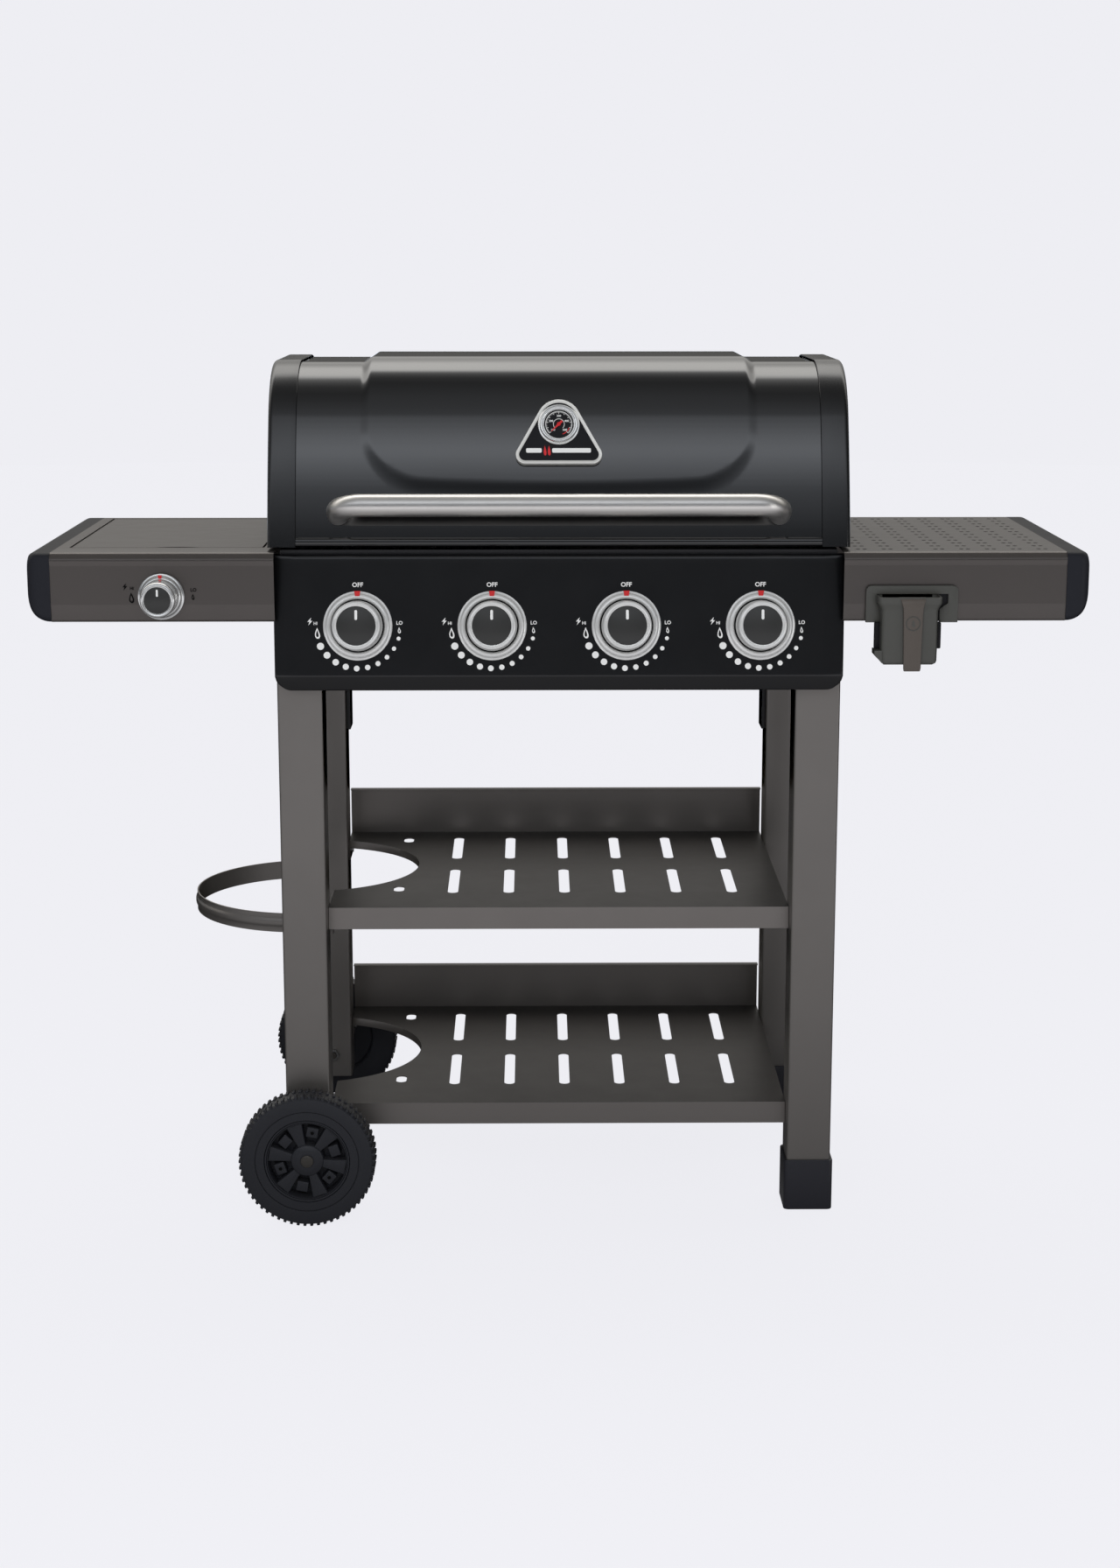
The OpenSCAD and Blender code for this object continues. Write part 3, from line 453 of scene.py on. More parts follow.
def baked(obj, angle=35.0):
    """Applies an object's modifiers and returns it with a plain mesh."""
    mesh = plain_mesh(obj)
    obj.modifiers.clear()
    obj.data = mesh
    return shade(obj, angle)


def thickened(obj, wall, angle):
    """Gives a sheet its thickness, on the inner side."""
    thick = obj.modifiers.new("Solidify", "SOLIDIFY")
    thick.thickness = wall * MM
    thick.offset = -1.0
    return baked(obj, angle)


def bevelled(obj, width, segments, crease):
    """Rounds the edges where two faces meet at more than crease degrees."""
    bevel = obj.modifiers.new("Bevel", "BEVEL")
    bevel.width = width * MM
    bevel.segments = segments
    bevel.limit_method = "ANGLE"
    bevel.angle_limit = math.radians(crease)
    return baked(obj)


def joined(name, objects):
    """One object from several, with their meshes put together."""
    shape = bmesh.new()
    for obj in objects:
        obj.data.transform(obj.matrix_world)
        shape.from_mesh(obj.data)
    mesh = bpy.data.meshes.new(name)
    shape.to_mesh(mesh)
    shape.free()
    for obj in objects:
        bpy.data.objects.remove(obj)
    return new_object(name, mesh)


def loft(rings, closed=True, cap=True):
    """Points and faces of a skin over rings of equal length."""
    count = len(rings[0])
    points = [p for ring in rings for p in ring]
    faces = []
    for i in range(len(rings) - 1):
        for j in range(count if closed else count - 1):
            k = (j + 1) % count
            faces.append((i * count + j, i * count + k, (i + 1) * count + k, (i + 1) * count + j))
    if closed and cap:
        faces.append(tuple(reversed(range(count))))
        faces.append(tuple((len(rings) - 1) * count + j for j in range(count)))
    return points, faces


def lathe(profile, segments=96, start=0.0, sweep=360.0):
    """Points and faces of a profile of (radius, height) turned round z; ends on the axis are closed."""
    full = abs(sweep - 360.0) < 1e-6
    rings = []
    for i in range(segments if full else segments + 1):
        angle = math.radians(start + sweep * i / segments)
        rings.append([(r * math.cos(angle), r * math.sin(angle), z) for r, z in profile])
    if full:
        rings.append(rings[0])
    return loft(rings, closed=False)


def lathed(name, profile, segments, start=0.0, sweep=360.0, angle=35.0, place=None):
    """A piece turned from a profile."""
    return piece(name, *lathe(profile, segments, start, sweep), angle=angle, place=place)


def lofted(name, rings, angle=35.0, place=None):
    """A solid piece with a skin over closed rings."""
    return piece(name, *loft(rings), angle=angle, place=place)


def band(inner, outer, low, high):
    """The closed profile of a plain ring, for lathe."""
    return [(inner, low), (outer, low), (outer, high), (inner, high), (inner, low)]


def disc(radius, low, high):
    """The profile of a plain disc, for lathe."""
    return [(0, low), (radius, low), (radius, high), (0, high)]


def level(outline, x, y, z):
    """A flat outline moved to a place."""
    return [(x + dx, y + dy, z) for dx, dy in outline]


def round_outline(half_x, half_y, radius, steps=6):
    """A rectangle with round corners round the origin, as (x, y) points."""
    points = []
    for corner, (sx, sy) in enumerate(((1, 1), (-1, 1), (-1, -1), (1, -1))):
        for i in range(steps + 1):
            angle = math.radians(90 * corner + 90 * i / steps)
            points.append((
                sx * (half_x - radius) + radius * math.cos(angle),
                sy * (half_y - radius) + radius * math.sin(angle),
            ))
    return points


def fillet(points, radii, steps=5):
    """An open outline with each inner corner rounded by its radius."""
    result = [Vector(points[0])]
    for i in range(1, len(points) - 1):
        before, here, after = (Vector(points[k]) for k in (i - 1, i, i + 1))
        radius = radii[i - 1]
        if radius <= 0:
            result.append(here)
            continue
        first, second = (before - here).normalized(), (after - here).normalized()
        half = first.angle(second) / 2
        reach = min(radius / math.tan(half), (before - here).length * 0.49, (after - here).length * 0.49)
        start, end = here + first * reach, here + second * reach
        for k in range(steps + 1):
            t = k / steps
            result.append(start * (1 - t) ** 2 + here * 2 * t * (1 - t) + end * t * t)
    result.append(Vector(points[-1]))
    return result


def soften(node, material, body, slot, width):
    """A copy of a CAD node with its sharp edges rounded, in the node's place."""
    def clean(shape):
        bmesh.ops.remove_doubles(shape, verts=shape.verts, dist=MERGE)
        bmesh.ops.dissolve_limit(
            shape, angle_limit=math.radians(0.4), verts=shape.verts, edges=shape.edges,
            use_dissolve_boundaries=False,
        )
    obj = edit_mesh(new_object(f"{node}_skin", NODES[node].data.copy()), clean)
    bevelled(obj, width, 2, 32)
    for face in obj.data.polygons:
        if face.area > LARGE_FACE:
            face.use_smooth = False
    dress(obj, material, body, slot, node)


def tube_along(path, radius, sides=32):
    """Points and faces of a round tube along a list of points, closed at both ends."""
    path = [Vector(p) for p in path]
    rings = []
    side = None
    for i, point in enumerate(path):
        along = (path[min(i + 1, len(path) - 1)] - path[max(i - 1, 0)]).normalized()
        if side is None:
            side = along.cross(Vector((0, 0, 1))).normalized()
        side = (side - along * side.dot(along)).normalized()
        up = side.cross(along)
        ring = []
        for k in range(sides):
            angle = 2 * math.pi * k / sides
            ring.append(point + radius * (math.cos(angle) * side + math.sin(angle) * up))
        rings.append(ring)
    return loft(rings)


def block(name, low, high, bevel=0.8):
    """A box with rounded edges between two corners."""
    (x0, y0, z0), (x1, y1, z1) = low, high
    points = [(x, y, z) for x in (x0, x1) for y in (y0, y1) for z in (z0, z1)]
    faces = [(0, 1, 3, 2), (4, 6, 7, 5), (0, 4, 5, 1), (2, 3, 7, 6), (0, 2, 6, 4), (1, 5, 7, 3)]
    obj = piece(name, points, faces)
    return bevelled(obj, bevel, 3, 30) if bevel else obj


def panel_place(x):
    """The place of a control on the leaning panel: z points out of it, y up along it."""
    return moved(x, KNOB_Y, KNOB_Z) @ turned(90 - math.degrees(PANEL_LEAN), "X")


def side_place():
    """The same on the front of the left side shelf."""
    return moved(*SIDE_KNOB) @ turned(90, "X")


def lid_place(z):
    """The same on the lid's raised panel at height z."""
    radius = FACE_R + LID_STEP
    lean = math.asin((z - FACE_CENTRE[1]) / radius)
    return moved(0, FACE_CENTRE[0] - radius * math.cos(lean), z) @ turned(90 - math.degrees(lean), "X")


# ---------------------------------------------------------------- geometry node trees


def copies_group(name, inputs):
    """An empty geometry group that takes an Object, a Material and the inputs given."""
    shared = [("Object", "NodeSocketObject", None), ("Material", "NodeSocketMaterial", None)]
    return new_group(name, "GeometryNodeTree", shared + inputs, [("Geometry", "NodeSocketGeometry")])


def end_tree(tree, source, target, points, rotation=None, scale=None):
    """Puts the Object on the points, realizes the copies and sets the Material."""
    info, copies, real, paint = (
        tree.nodes.new(f"GeometryNode{kind}")
        for kind in ("ObjectInfo", "InstanceOnPoints", "RealizeInstances", "SetMaterial")
    )
    feed(tree, info.inputs["Object"], source.outputs["Object"])
    feed(tree, copies.inputs["Points"], points)
    feed(tree, copies.inputs["Instance"], info.outputs["Geometry"])
    feed(tree, copies.inputs["Rotation"], rotation)
    feed(tree, copies.inputs["Scale"], scale)
    feed(tree, real.inputs["Geometry"], copies.outputs["Instances"])
    feed(tree, paint.inputs["Geometry"], real.outputs["Geometry"])
    feed(tree, paint.inputs["Material"], source.outputs["Material"])
    feed(tree, target.inputs["Geometry"], paint.outputs["Geometry"])


def build_arc_tree():
    """Copies of an object along an arc, each turned with it, growing from Start Scale to End Scale."""
    tree, source, target = copies_group("Copies on an arc", [
        ("Count", "NodeSocketInt", 10), ("Radius", FLOAT, 0.05), ("Start", FLOAT, 0.0),
        ("Step", FLOAT, 0.1), ("Start Scale", FLOAT, 1.0), ("End Scale", FLOAT, 1.0),
    ])
    given = source.outputs
    index = tree.nodes.new("GeometryNodeInputIndex").outputs[0]
    angle = plus(tree, times(tree, index, given["Step"]), given["Start"])
    across = times(tree, math_node(tree, "COSINE", angle), given["Radius"])
    upward = times(tree, math_node(tree, "SINE", angle), given["Radius"])
    points = tree.nodes.new("GeometryNodePoints")
    tree.links.new(given["Count"], points.inputs["Count"])
    tree.links.new(combined(tree, X=across, Y=upward), points.inputs["Position"])
    last = math_node(tree, "MAXIMUM", minus(tree, given["Count"], 1.0), 1.0)
    share = math_node(tree, "DIVIDE", index, last)
    growth = minus(tree, given["End Scale"], given["Start Scale"])
    size = plus(tree, times(tree, share, growth), given["Start Scale"])
    scale = combined(tree, X=size, Y=size, Z=size)
    end_tree(tree, source, target, points.outputs[0], combined(tree, Z=angle), scale)
    return tree


def build_grid_tree():
    """Copies of an object in rows and columns centred on the origin."""
    tree, source, target = copies_group("Copies on a grid", [
        ("Columns", "NodeSocketInt", 4), ("Rows", "NodeSocketInt", 4),
        ("Pitch X", FLOAT, 0.02), ("Pitch Y", FLOAT, 0.02),
    ])
    grid = tree.nodes.new("GeometryNodeMeshGrid")
    for count, axis in ((source.outputs["Columns"], "X"), (source.outputs["Rows"], "Y")):
        span = times(tree, minus(tree, count, 1.0), source.outputs[f"Pitch {axis}"])
        tree.links.new(span, grid.inputs[f"Size {axis}"])
        tree.links.new(count, grid.inputs[f"Vertices {axis}"])
    end_tree(tree, source, target, grid.outputs["Mesh"])
    return tree


ARC_TREE = build_arc_tree()
GRID_TREE = build_grid_tree()


def repeat(name, tree, item, material, place, **values):
    """Runs a geometry tree on item and returns the copies as a plain mesh, moved by place."""
    obj = new_object(name, bpy.data.meshes.new(name))
    modifier = obj.modifiers.new("Copies", "NODES")
    modifier.node_group = tree
    wanted = {"Object": item, "Material": material}
    wanted.update({key.replace("_", " "): value for key, value in values.items()})
    for socket in tree.interface.items_tree:
        if socket.in_out == "INPUT" and socket.name in wanted:
            modifier[socket.identifier] = wanted[socket.name]
    mesh = plain_mesh(obj)
    obj.modifiers.clear()
    mesh.transform(place)
    obj.data = mesh
    bpy.data.objects.remove(item)
    return shade(obj)


# ---------------------------------------------------------------- lid


def lid_outline(front_low, back_low, step=7.0):
    """The lid's section as (y, z, normal y, normal z) from the front's lower edge over to the rear."""
    points = []

    def arc(cy, cz, radius, start, end):
        count = max(2, int(abs(end - start) * radius / step))
        for i in range(count + 1):
            angle = start + (end - start) * i / count
            points.append((cy - radius * math.cos(angle), cz + radius * math.sin(angle),
                           -math.cos(angle), math.sin(angle)))

    low = math.asin((front_low - FACE_CENTRE[1]) / FACE_R)
    arc(FACE_CENTRE[0], FACE_CENTRE[1], FACE_R, low, FACE_LEAN)
    arc(ROUND_Y, LID_TOP - ROUND_R, ROUND_R, FACE_LEAN + 0.03, math.pi / 2)
    flat_end = LID_BACK_Y - BACK_R
    count = int((flat_end - ROUND_Y) / 14)
    for i in range(1, count):
        points.append((ROUND_Y + (flat_end - ROUND_Y) * i / count, LID_TOP, 0.0, 1.0))
    arc(flat_end, LID_TOP - BACK_R, BACK_R, math.pi / 2, math.pi)
    for i in range(1, 5):
        z = LID_TOP - BACK_R + (back_low - LID_TOP + BACK_R) * i / 4
        points.append((LID_BACK_Y, z, 1.0, 0.0))
    return points


def smooth_step(value):
    """A soft rise from 0 to 1."""
    value = min(1.0, max(0.0, value))
    return value * value * (3 - 2 * value)


def raised_height(x, along, total):
    """How proud the lid's skin stands: a middle panel with soft edges that rises towards the top."""
    half_x, corner = 250.0, 74.0
    low, high = 50.0 + 10.0 * (x / half_x) ** 2, total - 62.0
    middle, half_s = (low + high) / 2, (high - low) / 2
    dx = abs(x) - (half_x - corner)
    ds = abs(along - middle) - (half_s - corner)
    outside = math.hypot(max(dx, 0), max(ds, 0)) + min(max(dx, ds), 0.0)
    blend = min(1.0, max(0.0, dx / corner)) * min(1.0, max(0.0, ds / corner))
    slope = (12.0 + 11.0 * smooth_step(1.0 - (along - low) / 60.0)) * (1 + 0.5 * blend)
    ramp = min(1.0, max(0.0, (corner - outside) / slope))
    height = LID_STEP * (0.2 + 0.8 * smooth_step((along - 165.0) / 60.0))
    return height * (0.55 * ramp + 0.45 * smooth_step(ramp))


def spaced(stops):
    """Values from (end, step) pairs that follow a first value."""
    values = [stops[0]]
    for end, step in stops[1:]:
        start = values[-1]
        count = max(1, round((end - start) / step))
        values += [start + (end - start) * (i + 1) / count for i in range(count)]
    return values


def refine(outline, zones, step):
    """Splits the outline's stretches whose arc length lies in a zone, so that creases come out sharp."""
    result, along = [], 0.0
    for first, second in zip(outline, outline[1:]):
        length = math.hypot(second[0] - first[0], second[1] - first[1])
        near = any(low - length < along < high for low, high in zones)
        count = max(1, math.ceil(length / step)) if near else 1
        for i in range(count):
            t = i / count
            result.append((tuple(a + (b - a) * t for a, b in zip(first, second)), along + length * t))
        along += length
    result.append((outline[-1], along))
    return result, along


def make_lid_shell():
    """The lid's front, top and rear: a thin skin with a raised panel and a rolled lower edge."""
    outline = lid_outline(LID_BOTTOM + 12.0, LID_BOTTOM + 10.0)
    total = sum(math.hypot(b[0] - a[0], b[1] - a[1]) for a, b in zip(outline, outline[1:]))
    samples, total = refine(outline, [(40, 150), (total - 150, total - 40)], 2.5)
    half = spaced([0.0, (150.0, 25.0), (215.0, 5.0), (255.0, 1.6), (SHELL_END, 12.0)])
    xs = [-x for x in reversed(half[1:])] + half
    wall = 1.2
    outer, inner = [], []
    for (y, z, ny, nz), along in samples:
        rise = [raised_height(x, along, total) for x in xs]
        outer.append([(x, y + ny * h, z + nz * h) for x, h in zip(xs, rise)])
        inner.append([(x, y + ny * (h - wall), z + nz * (h - wall)) for x, h in zip(xs, rise)])
    rings = [a + list(reversed(b)) for a, b in zip(outer, inner)]
    points, faces = loft(rings, closed=True, cap=False)
    count, last = len(rings[0]), (len(rings) - 1) * len(rings[0])
    for k in range(count // 2 - 1):
        faces.append((k, k + 1, count - 2 - k, count - 1 - k))
        faces.append((last + k, last + count - 1 - k, last + count - 2 - k, last + k + 1))
    skin = piece("lid_skin_sheet", points, faces, angle=40)
    roll_z = LID_BOTTOM + LID_ROLL_R
    roll_y = FACE_CENTRE[0] - math.sqrt(FACE_R ** 2 - (roll_z - FACE_CENTRE[1]) ** 2) + 4.0
    xs = [-END_LOW.x + 0.2, END_LOW.x - 0.2]
    roll = piece("lid_roll", *tube_along([(x, roll_y, roll_z) for x in xs], LID_ROLL_R, 28))
    shell = shade(joined("lid_skin", [skin, roll]), 40)
    dress(shell, LID_ENAMEL, "lid", "gloss_enamel", "lid_shell")


def make_lid_end(side):
    """A pressed lid end: a proud rim, a rounded corner and a flat side with the hinge boss."""
    rim, radius, wall = 3.0, 7.0, 1.6
    outline = lid_outline(LID_BOTTOM, LID_BOTTOM + 10.0)
    levels = [(END_LOW.x, rim - 0.7), (END_LOW.x + 0.3, rim - 0.2), (END_LOW.x + 0.9, rim)]
    levels += [(END_LOW.x + 12, rim), (END_HIGH.x - radius, rim)]
    for i in range(1, 7):
        angle = math.radians(15 * i)
        levels.append((END_HIGH.x - radius + radius * math.sin(angle), rim - radius * (1 - math.cos(angle))))
    rings = [[(x, y + ny * d, z + nz * d) for y, z, ny, nz in outline] for x, d in levels]
    points, faces = loft(rings, closed=False)
    start = (len(rings) - 1) * len(outline)
    points.append((END_HIGH.x, HINGE[0] + 8.0, LID_BOTTOM))
    points.append((END_HIGH.x, HINGE[0] + 8.0, LID_BOTTOM + 10.0))
    faces.append(tuple(range(start, start + len(outline))) + (len(points) - 1, len(points) - 2))
    mirrored = [(side * x, y, z) for x, y, z in points]
    cap = piece("lid_end_sheet", mirrored, faces, angle=32)
    thickened(cap, wall, 32)
    turn = moved(side * BOSS_X, *HINGE) @ turned(side * 90, "Y")
    boss_profile = [(4.1, 0), (8.2, 0), (9, 0.8), (9, 7), (4.1, 7), (4.1, 0)]
    boss = lathed("boss", boss_profile, 48, place=turn)
    hand = "left" if side < 0 else "right"
    whole = shade(joined(f"lid_end_{hand}_skin", [cap, boss]), 32)
    dress(whole, END_ENAMEL, "lid", "gloss_enamel", f"lid_{hand}_end")


def make_handle():
    """The bowed tube across the lid's front."""
    low, high = box_mm("lid_handle")
    radius, bend, dip = 14.0, 34.0, math.radians(20)
    front = low.y + radius
    half = high.x - radius - bend
    back, down = math.cos(dip), -math.sin(dip)
    right = [(half * i / 12, front, HANDLE_Z) for i in range(13)]
    for i in range(1, 13):
        angle = math.radians(7.5 * i)
        reach = bend * (1 - math.cos(angle))
        right.append((half + bend * math.sin(angle), front + reach * back, HANDLE_Z + reach * down))
    for reach in (bend + 4, bend + 9, 45.5):
        right.append((half + bend, front + reach * back, HANDLE_Z + reach * down))
    path = [(-x, y, z) for x, y, z in reversed(right[1:])] + right
    bar = piece("lid_handle_bar", *tube_along(path, radius, 48), angle=50)
    dress(bar, TUBE_STEEL, "lid", "handle_steel", "lid_handle")


def plate_outline(inset, steps=14):
    """The name plate: a triangle with large round corners, as (x, y) points."""
    centres = [(-42.0, -27.5, 12.0), (42.0, -27.5, 12.0), (0.0, 15.8, 27.7)]
    spans = [(151.0, 270.0), (270.0, 389.0), (29.0, 151.0)]
    points = []
    for (cx, cy, r), (start, end) in zip(centres, spans):
        for i in range(steps + 1):
            angle = math.radians(start + (end - start) * i / steps)
            points.append((cx + (r - inset) * math.cos(angle), cy + (r - inset) * math.sin(angle)))
    return points


def make_name_plate():
    """The raised rim and dark field, with two plain bars and two flames in place of a name."""
    place = lid_place(PLATE_Z)
    levels = [(0.0, -5.6), (0.0, 2.0), (0.5, 2.6), (3.4, 2.6), (4.0, 2.2)]
    rings = [level(plate_outline(inset), 0, 0, z) for inset, z in levels]
    rim = lofted("name_plate_rim", rings, place=place)
    dress(rim, PLATE_RIM, "lid", "chrome", "name_plate")
    levels = [(4.2, 1.6), (4.2, 2.3), (4.5, 2.4)]
    rings = [level(plate_outline(inset), 0, 0, z) for inset, z in levels]
    field = lofted("name_plate_field", rings, place=place)
    dress(field, DIAL_BLACK, "lid", "black_paint")
    bars = []
    for left, right in ((-41.0, -21.5), (-8.5, 40.0)):
        middle, half = (left + right) / 2, (right - left) / 2
        outline = round_outline(half, 2.9, 1.6, 4)
        rings = [level(outline, middle, -22.5, z) for z in (2.3, 2.6)]
        bars.append(lofted("plate_bar", rings, place=place))
    dress(joined("name_plate_bars", bars), PRINT_WHITE, "lid", "chrome")
    flames = []
    for x in (-17.6, -12.4):
        spot = place @ moved(x, -22.5, 2.35)
        flames.append(flat_piece("plate_flame", flame_outline(5.0, 13.0), 0.3, place=spot))
    dress(joined("plate_flames", flames), RED_PAINT, "lid", "red_paint")


def gauge_numbers(place):
    """Temperature figures round the dial."""
    labels = []
    for i, value in enumerate((100, 200, 300, 400, 500)):
        angle = math.radians(225 - 67.5 * i)
        spot = place @ moved(10.6 * math.cos(angle), 10.6 * math.sin(angle), 4.95)
        labels.append(lettering(str(value), 2.6, spot))
    return labels


def make_gauge():
    """The thermometer: a stepped housing, a printed dial and a pointer that turns."""
    place = lid_place(GAUGE_Z)
    case = [
        (0, 2.4), (26.0, 2.4), (26.0, 3.6), (25.4, 4.2), (24.4, 4.3), (23.8, 4.9), (23.8, 6.4), (23.2, 7.5),
        (21.8, 8.0), (20.7, 7.7), (20.0, 6.9), (19.6, 6.9), (19.2, 7.4), (18.7, 7.2), (18.3, 6.2),
        (18.2, 4.6), (0, 4.6),
    ]
    housing = lathed("gauge_housing", case, 96, place=place)
    dress(housing, BRIGHT_CHROME, "lid", "chrome", "gauge_case")
    dial = lathed("gauge_dial", disc(18.3, 4.3, 4.9), 72, place=place)
    dress(dial, DIAL_BLACK, "lid", "black_paint")
    face = place @ moved(0, 0, 5.0)
    marks = []
    for name, reach, half, count, radius, step in (
        ("gauge_ticks", 1.3, 0.3, 11, 14.9, 27), ("fine_ticks", 0.7, 0.17, 51, 15.6, 5.4),
    ):
        tick = block("tick", (-reach, -half, -0.1), (reach, half, 0.05), bevel=0)
        marks.append(repeat(name, ARC_TREE, tick, PRINT_WHITE, face, Count=count, Radius=radius * MM,
                            Start=math.radians(-45), Step=math.radians(step)))
    for inner, outer in ((16.2, 16.8), (6.6, 7.2)):
        line = band(inner, outer, -0.1, 0.05)
        marks.append(lathed("gauge_arc", line, 60, -45, 270, place=face))
    dress(joined("gauge_marks", marks + gauge_numbers(place)), PRINT_WHITE, "lid", "chrome")
    warm = lathed("gauge_warm_band", band(13.2, 14.2, -0.1, 0.04), 24, -70, 50, place=face)
    dress(warm, RED_PAINT, "lid", "red_paint")
    blade = [(-6.0, -1.3), (0, -1.5), (13.5, -0.35), (13.5, 0.35), (0, 1.5), (-6.0, 1.3)]
    pointing = place @ turned(225, "Z") @ moved(0, 0, 5.5)
    needle = flat_piece("needle_blade", blade, 0.5, place=pointing)
    profile = [(0, 4.95), (1.0, 4.95), (1.0, 5.4), (2.4, 5.5), (2.4, 6.1), (1.8, 6.5), (0, 6.5)]
    hub = lathed("needle_hub", profile, 32, place=place)
    pointer = joined("gauge_needle_piece", [needle, hub])
    dress(pointer, RED_PAINT, "gauge_needle", "red_paint", "gauge_pointer")


# ---------------------------------------------------------------- printed marks


def flat_piece(name, outline, thickness, place):
    """A flat outline with a small thickness, from z = 0 up."""
    return lofted(name, [level(outline, 0, 0, z) for z in (0.0, thickness)], place=place)


def flame_outline(width, height, steps=18):
    """A drop with its tip bent to one side."""
    points = []
    for i in range(steps * 2):
        t = i / (steps * 2)
        angle = 2 * math.pi * t
        x = 0.5 * width * math.sin(angle) * math.sin(angle / 2) ** 1.4
        y = -0.5 * height * math.cos(angle)
        points.append((x + 0.12 * width * (y / height + 0.5) ** 2, -y))
    return points


def bolt_outline(height):
    """A lightning flash."""
    shape = [(0.18, 0.5), (-0.32, -0.05), (-0.04, -0.02), (-0.2, -0.5), (0.32, 0.1), (0.05, 0.08)]
    return [(x * height, y * height) for x, y in shape]


def lettering(words, height, place):
    """Small flat capital letters or figures, centred on place."""
    curve = bpy.data.curves.new("letters", "FONT")
    curve.body = words
    curve.size = height * 1.4 * MM
    curve.align_x = "CENTER"
    curve.align_y = "CENTER"
    curve.extrude = 0.06 * MM
    curve.offset = 0.03 * height * MM
    curve.resolution_u = 3
    text = new_object("letters", curve)
    mesh = plain_mesh(text)
    bpy.data.objects.remove(text)
    mesh.transform(place)
    return new_object("letters_mesh", mesh)


def ring_flame(width, height, line, place):
    """A flame drawn as an outline."""
    outer, inner = flame_outline(width, height), flame_outline(width - 2.2 * line, height - 2.6 * line)
    shift = -0.25 * line
    rings = [level(outer, 0, 0, z) for z in (0.0, 0.12)] + [level(inner, 0, shift, z) for z in (0.12, 0.0)]
    points, faces = loft(rings + [rings[0]], cap=False)
    return piece("flame", points, faces, place=place)


def knob_marks(name, place, material, slot, scale, spots, with_dots):
    """Off, high and low marks, flames, a spark and, on the main panel, an arc of dots round a knob."""
    def at(x, y):
        return place @ moved(x, y, 0.06)
    parts = [
        flat_piece("spark", bolt_outline(10.0 * scale), 0.12, place=at(*spots["spark"])),
        lettering("HI", 3.8 * scale, at(*spots["high"])),
        lettering("LO", 4.5 * scale, at(*spots["low"])),
        ring_flame(9.0 * scale, 14.0 * scale, 2.0 * scale, at(*spots["big"])),
        ring_flame(5.2 * scale, 7.8 * scale, 1.3 * scale, at(*spots["small"])),
    ]
    if with_dots:
        parts.append(lettering("OFF", 5.6, at(*spots["off"])))
        dot = lathed("dot", disc(1.0, 0, 0.12), 24)
        parts.append(repeat("dots", ARC_TREE, dot, material, at(0, 0), Count=10, Radius=53.3 * MM,
                            Start=math.radians(208.5), Step=math.radians(14.9),
                            Start_Scale=4.5, End_Scale=2.5))
    dress(joined(name, parts), material, "cart", slot)


# ---------------------------------------------------------------- knobs


def make_knob(node, body, place, grip, face, metal):
    """A chrome knob with a stepped grip, a dark face and a pointer line."""
    depth = 38.0
    profile = [
        (0, 30), (4.1, 30), (4.1, 7), (8, 7), (8, 31), (grip - 3.6, 31), (grip - 3.6, 5.2), (grip + 0.6, 5.0),
        (grip + 0.9, 5.5), (grip + 0.9, 8.6), (grip + 0.3, 10.2), (grip - 0.8, 13.2), (grip - 0.8, 15.0),
        (grip - 0.3, depth - 10), (grip, depth - 5.5), (grip - 0.1, depth - 3.4), (grip - 0.8, depth - 1.4),
        (grip - 2.0, depth - 0.3), (grip - 3.0, depth), (grip - 4.0, depth - 0.4), (grip - 4.4, depth - 1.2),
        (face + 1.0, depth - 1.3), (face + 0.7, depth - 0.9), (face + 0.2, depth - 1.0), (face, depth - 1.6),
        (0, depth - 1.6),
    ]
    dress(lathed(f"{node}_grip", profile, 96, place=place), metal, body, "chrome", node)
    cover = [
        (0, depth - 1.9), (face - 0.1, depth - 1.9), (face - 0.1, depth - 1.2), (face - 0.6, depth - 0.9),
        (0, depth - 0.7),
    ]
    dress(lathed(f"{node}_face", cover, 96, place=place), KNOB_FACE, body, "black_plastic")
    outline = round_outline(0.055 * grip, 0.2 * grip, 0.05 * grip, 4)
    mark = place @ moved(0, 0.55 * face, depth - 0.95)
    line = flat_piece(f"{node}_pointer", outline, 0.3, place=mark)
    dress(line, PRINT_WHITE, body, "chrome")


def make_bezel(place, outer, inner, label):
    """A stepped chrome ring round a knob, with a dark inner gap."""
    profile = [
        (inner, 0.2), (outer - 0.3, 0.2), (outer, 0.6), (outer, 2.6), (outer - 0.5, 3.3), (outer - 2.6, 3.9),
        (outer - 3.2, 4.6), (outer - 3.4, 6.0), (outer - 4.2, 7.2), (outer - 5.6, 8.2), (outer - 7.0, 8.5),
        (outer - 8.0, 8.0), (inner + 0.6, 6.0), (inner, 4.0), (inner, 0.2),
    ]
    return piece(label, *lathe(profile, 112), place=place)


# Where the marks round a knob stand, from its centre
PANEL_SPOTS = {
    "spark": (-60, 5.5), "high": (-53, 3.0), "low": (52, 3.5), "big": (-51, -9), "small": (51.5, -5.5),
    "off": (0, 51),
}
SIDE_SPOTS = {
    "spark": (-45, 12), "high": (-36.5, 10), "low": (40, 8), "big": (-37.5, -1.5), "small": (39, -0.5),
}


def make_tab(place, half_top, half_low, half_high, thickness):
    """A small red pointer tab above a knob."""
    outline = [(-half_top, half_high), (half_top, half_high), (half_low, -half_high), (-half_low, -half_high)]
    return flat_piece("tab", outline, thickness, place=place)


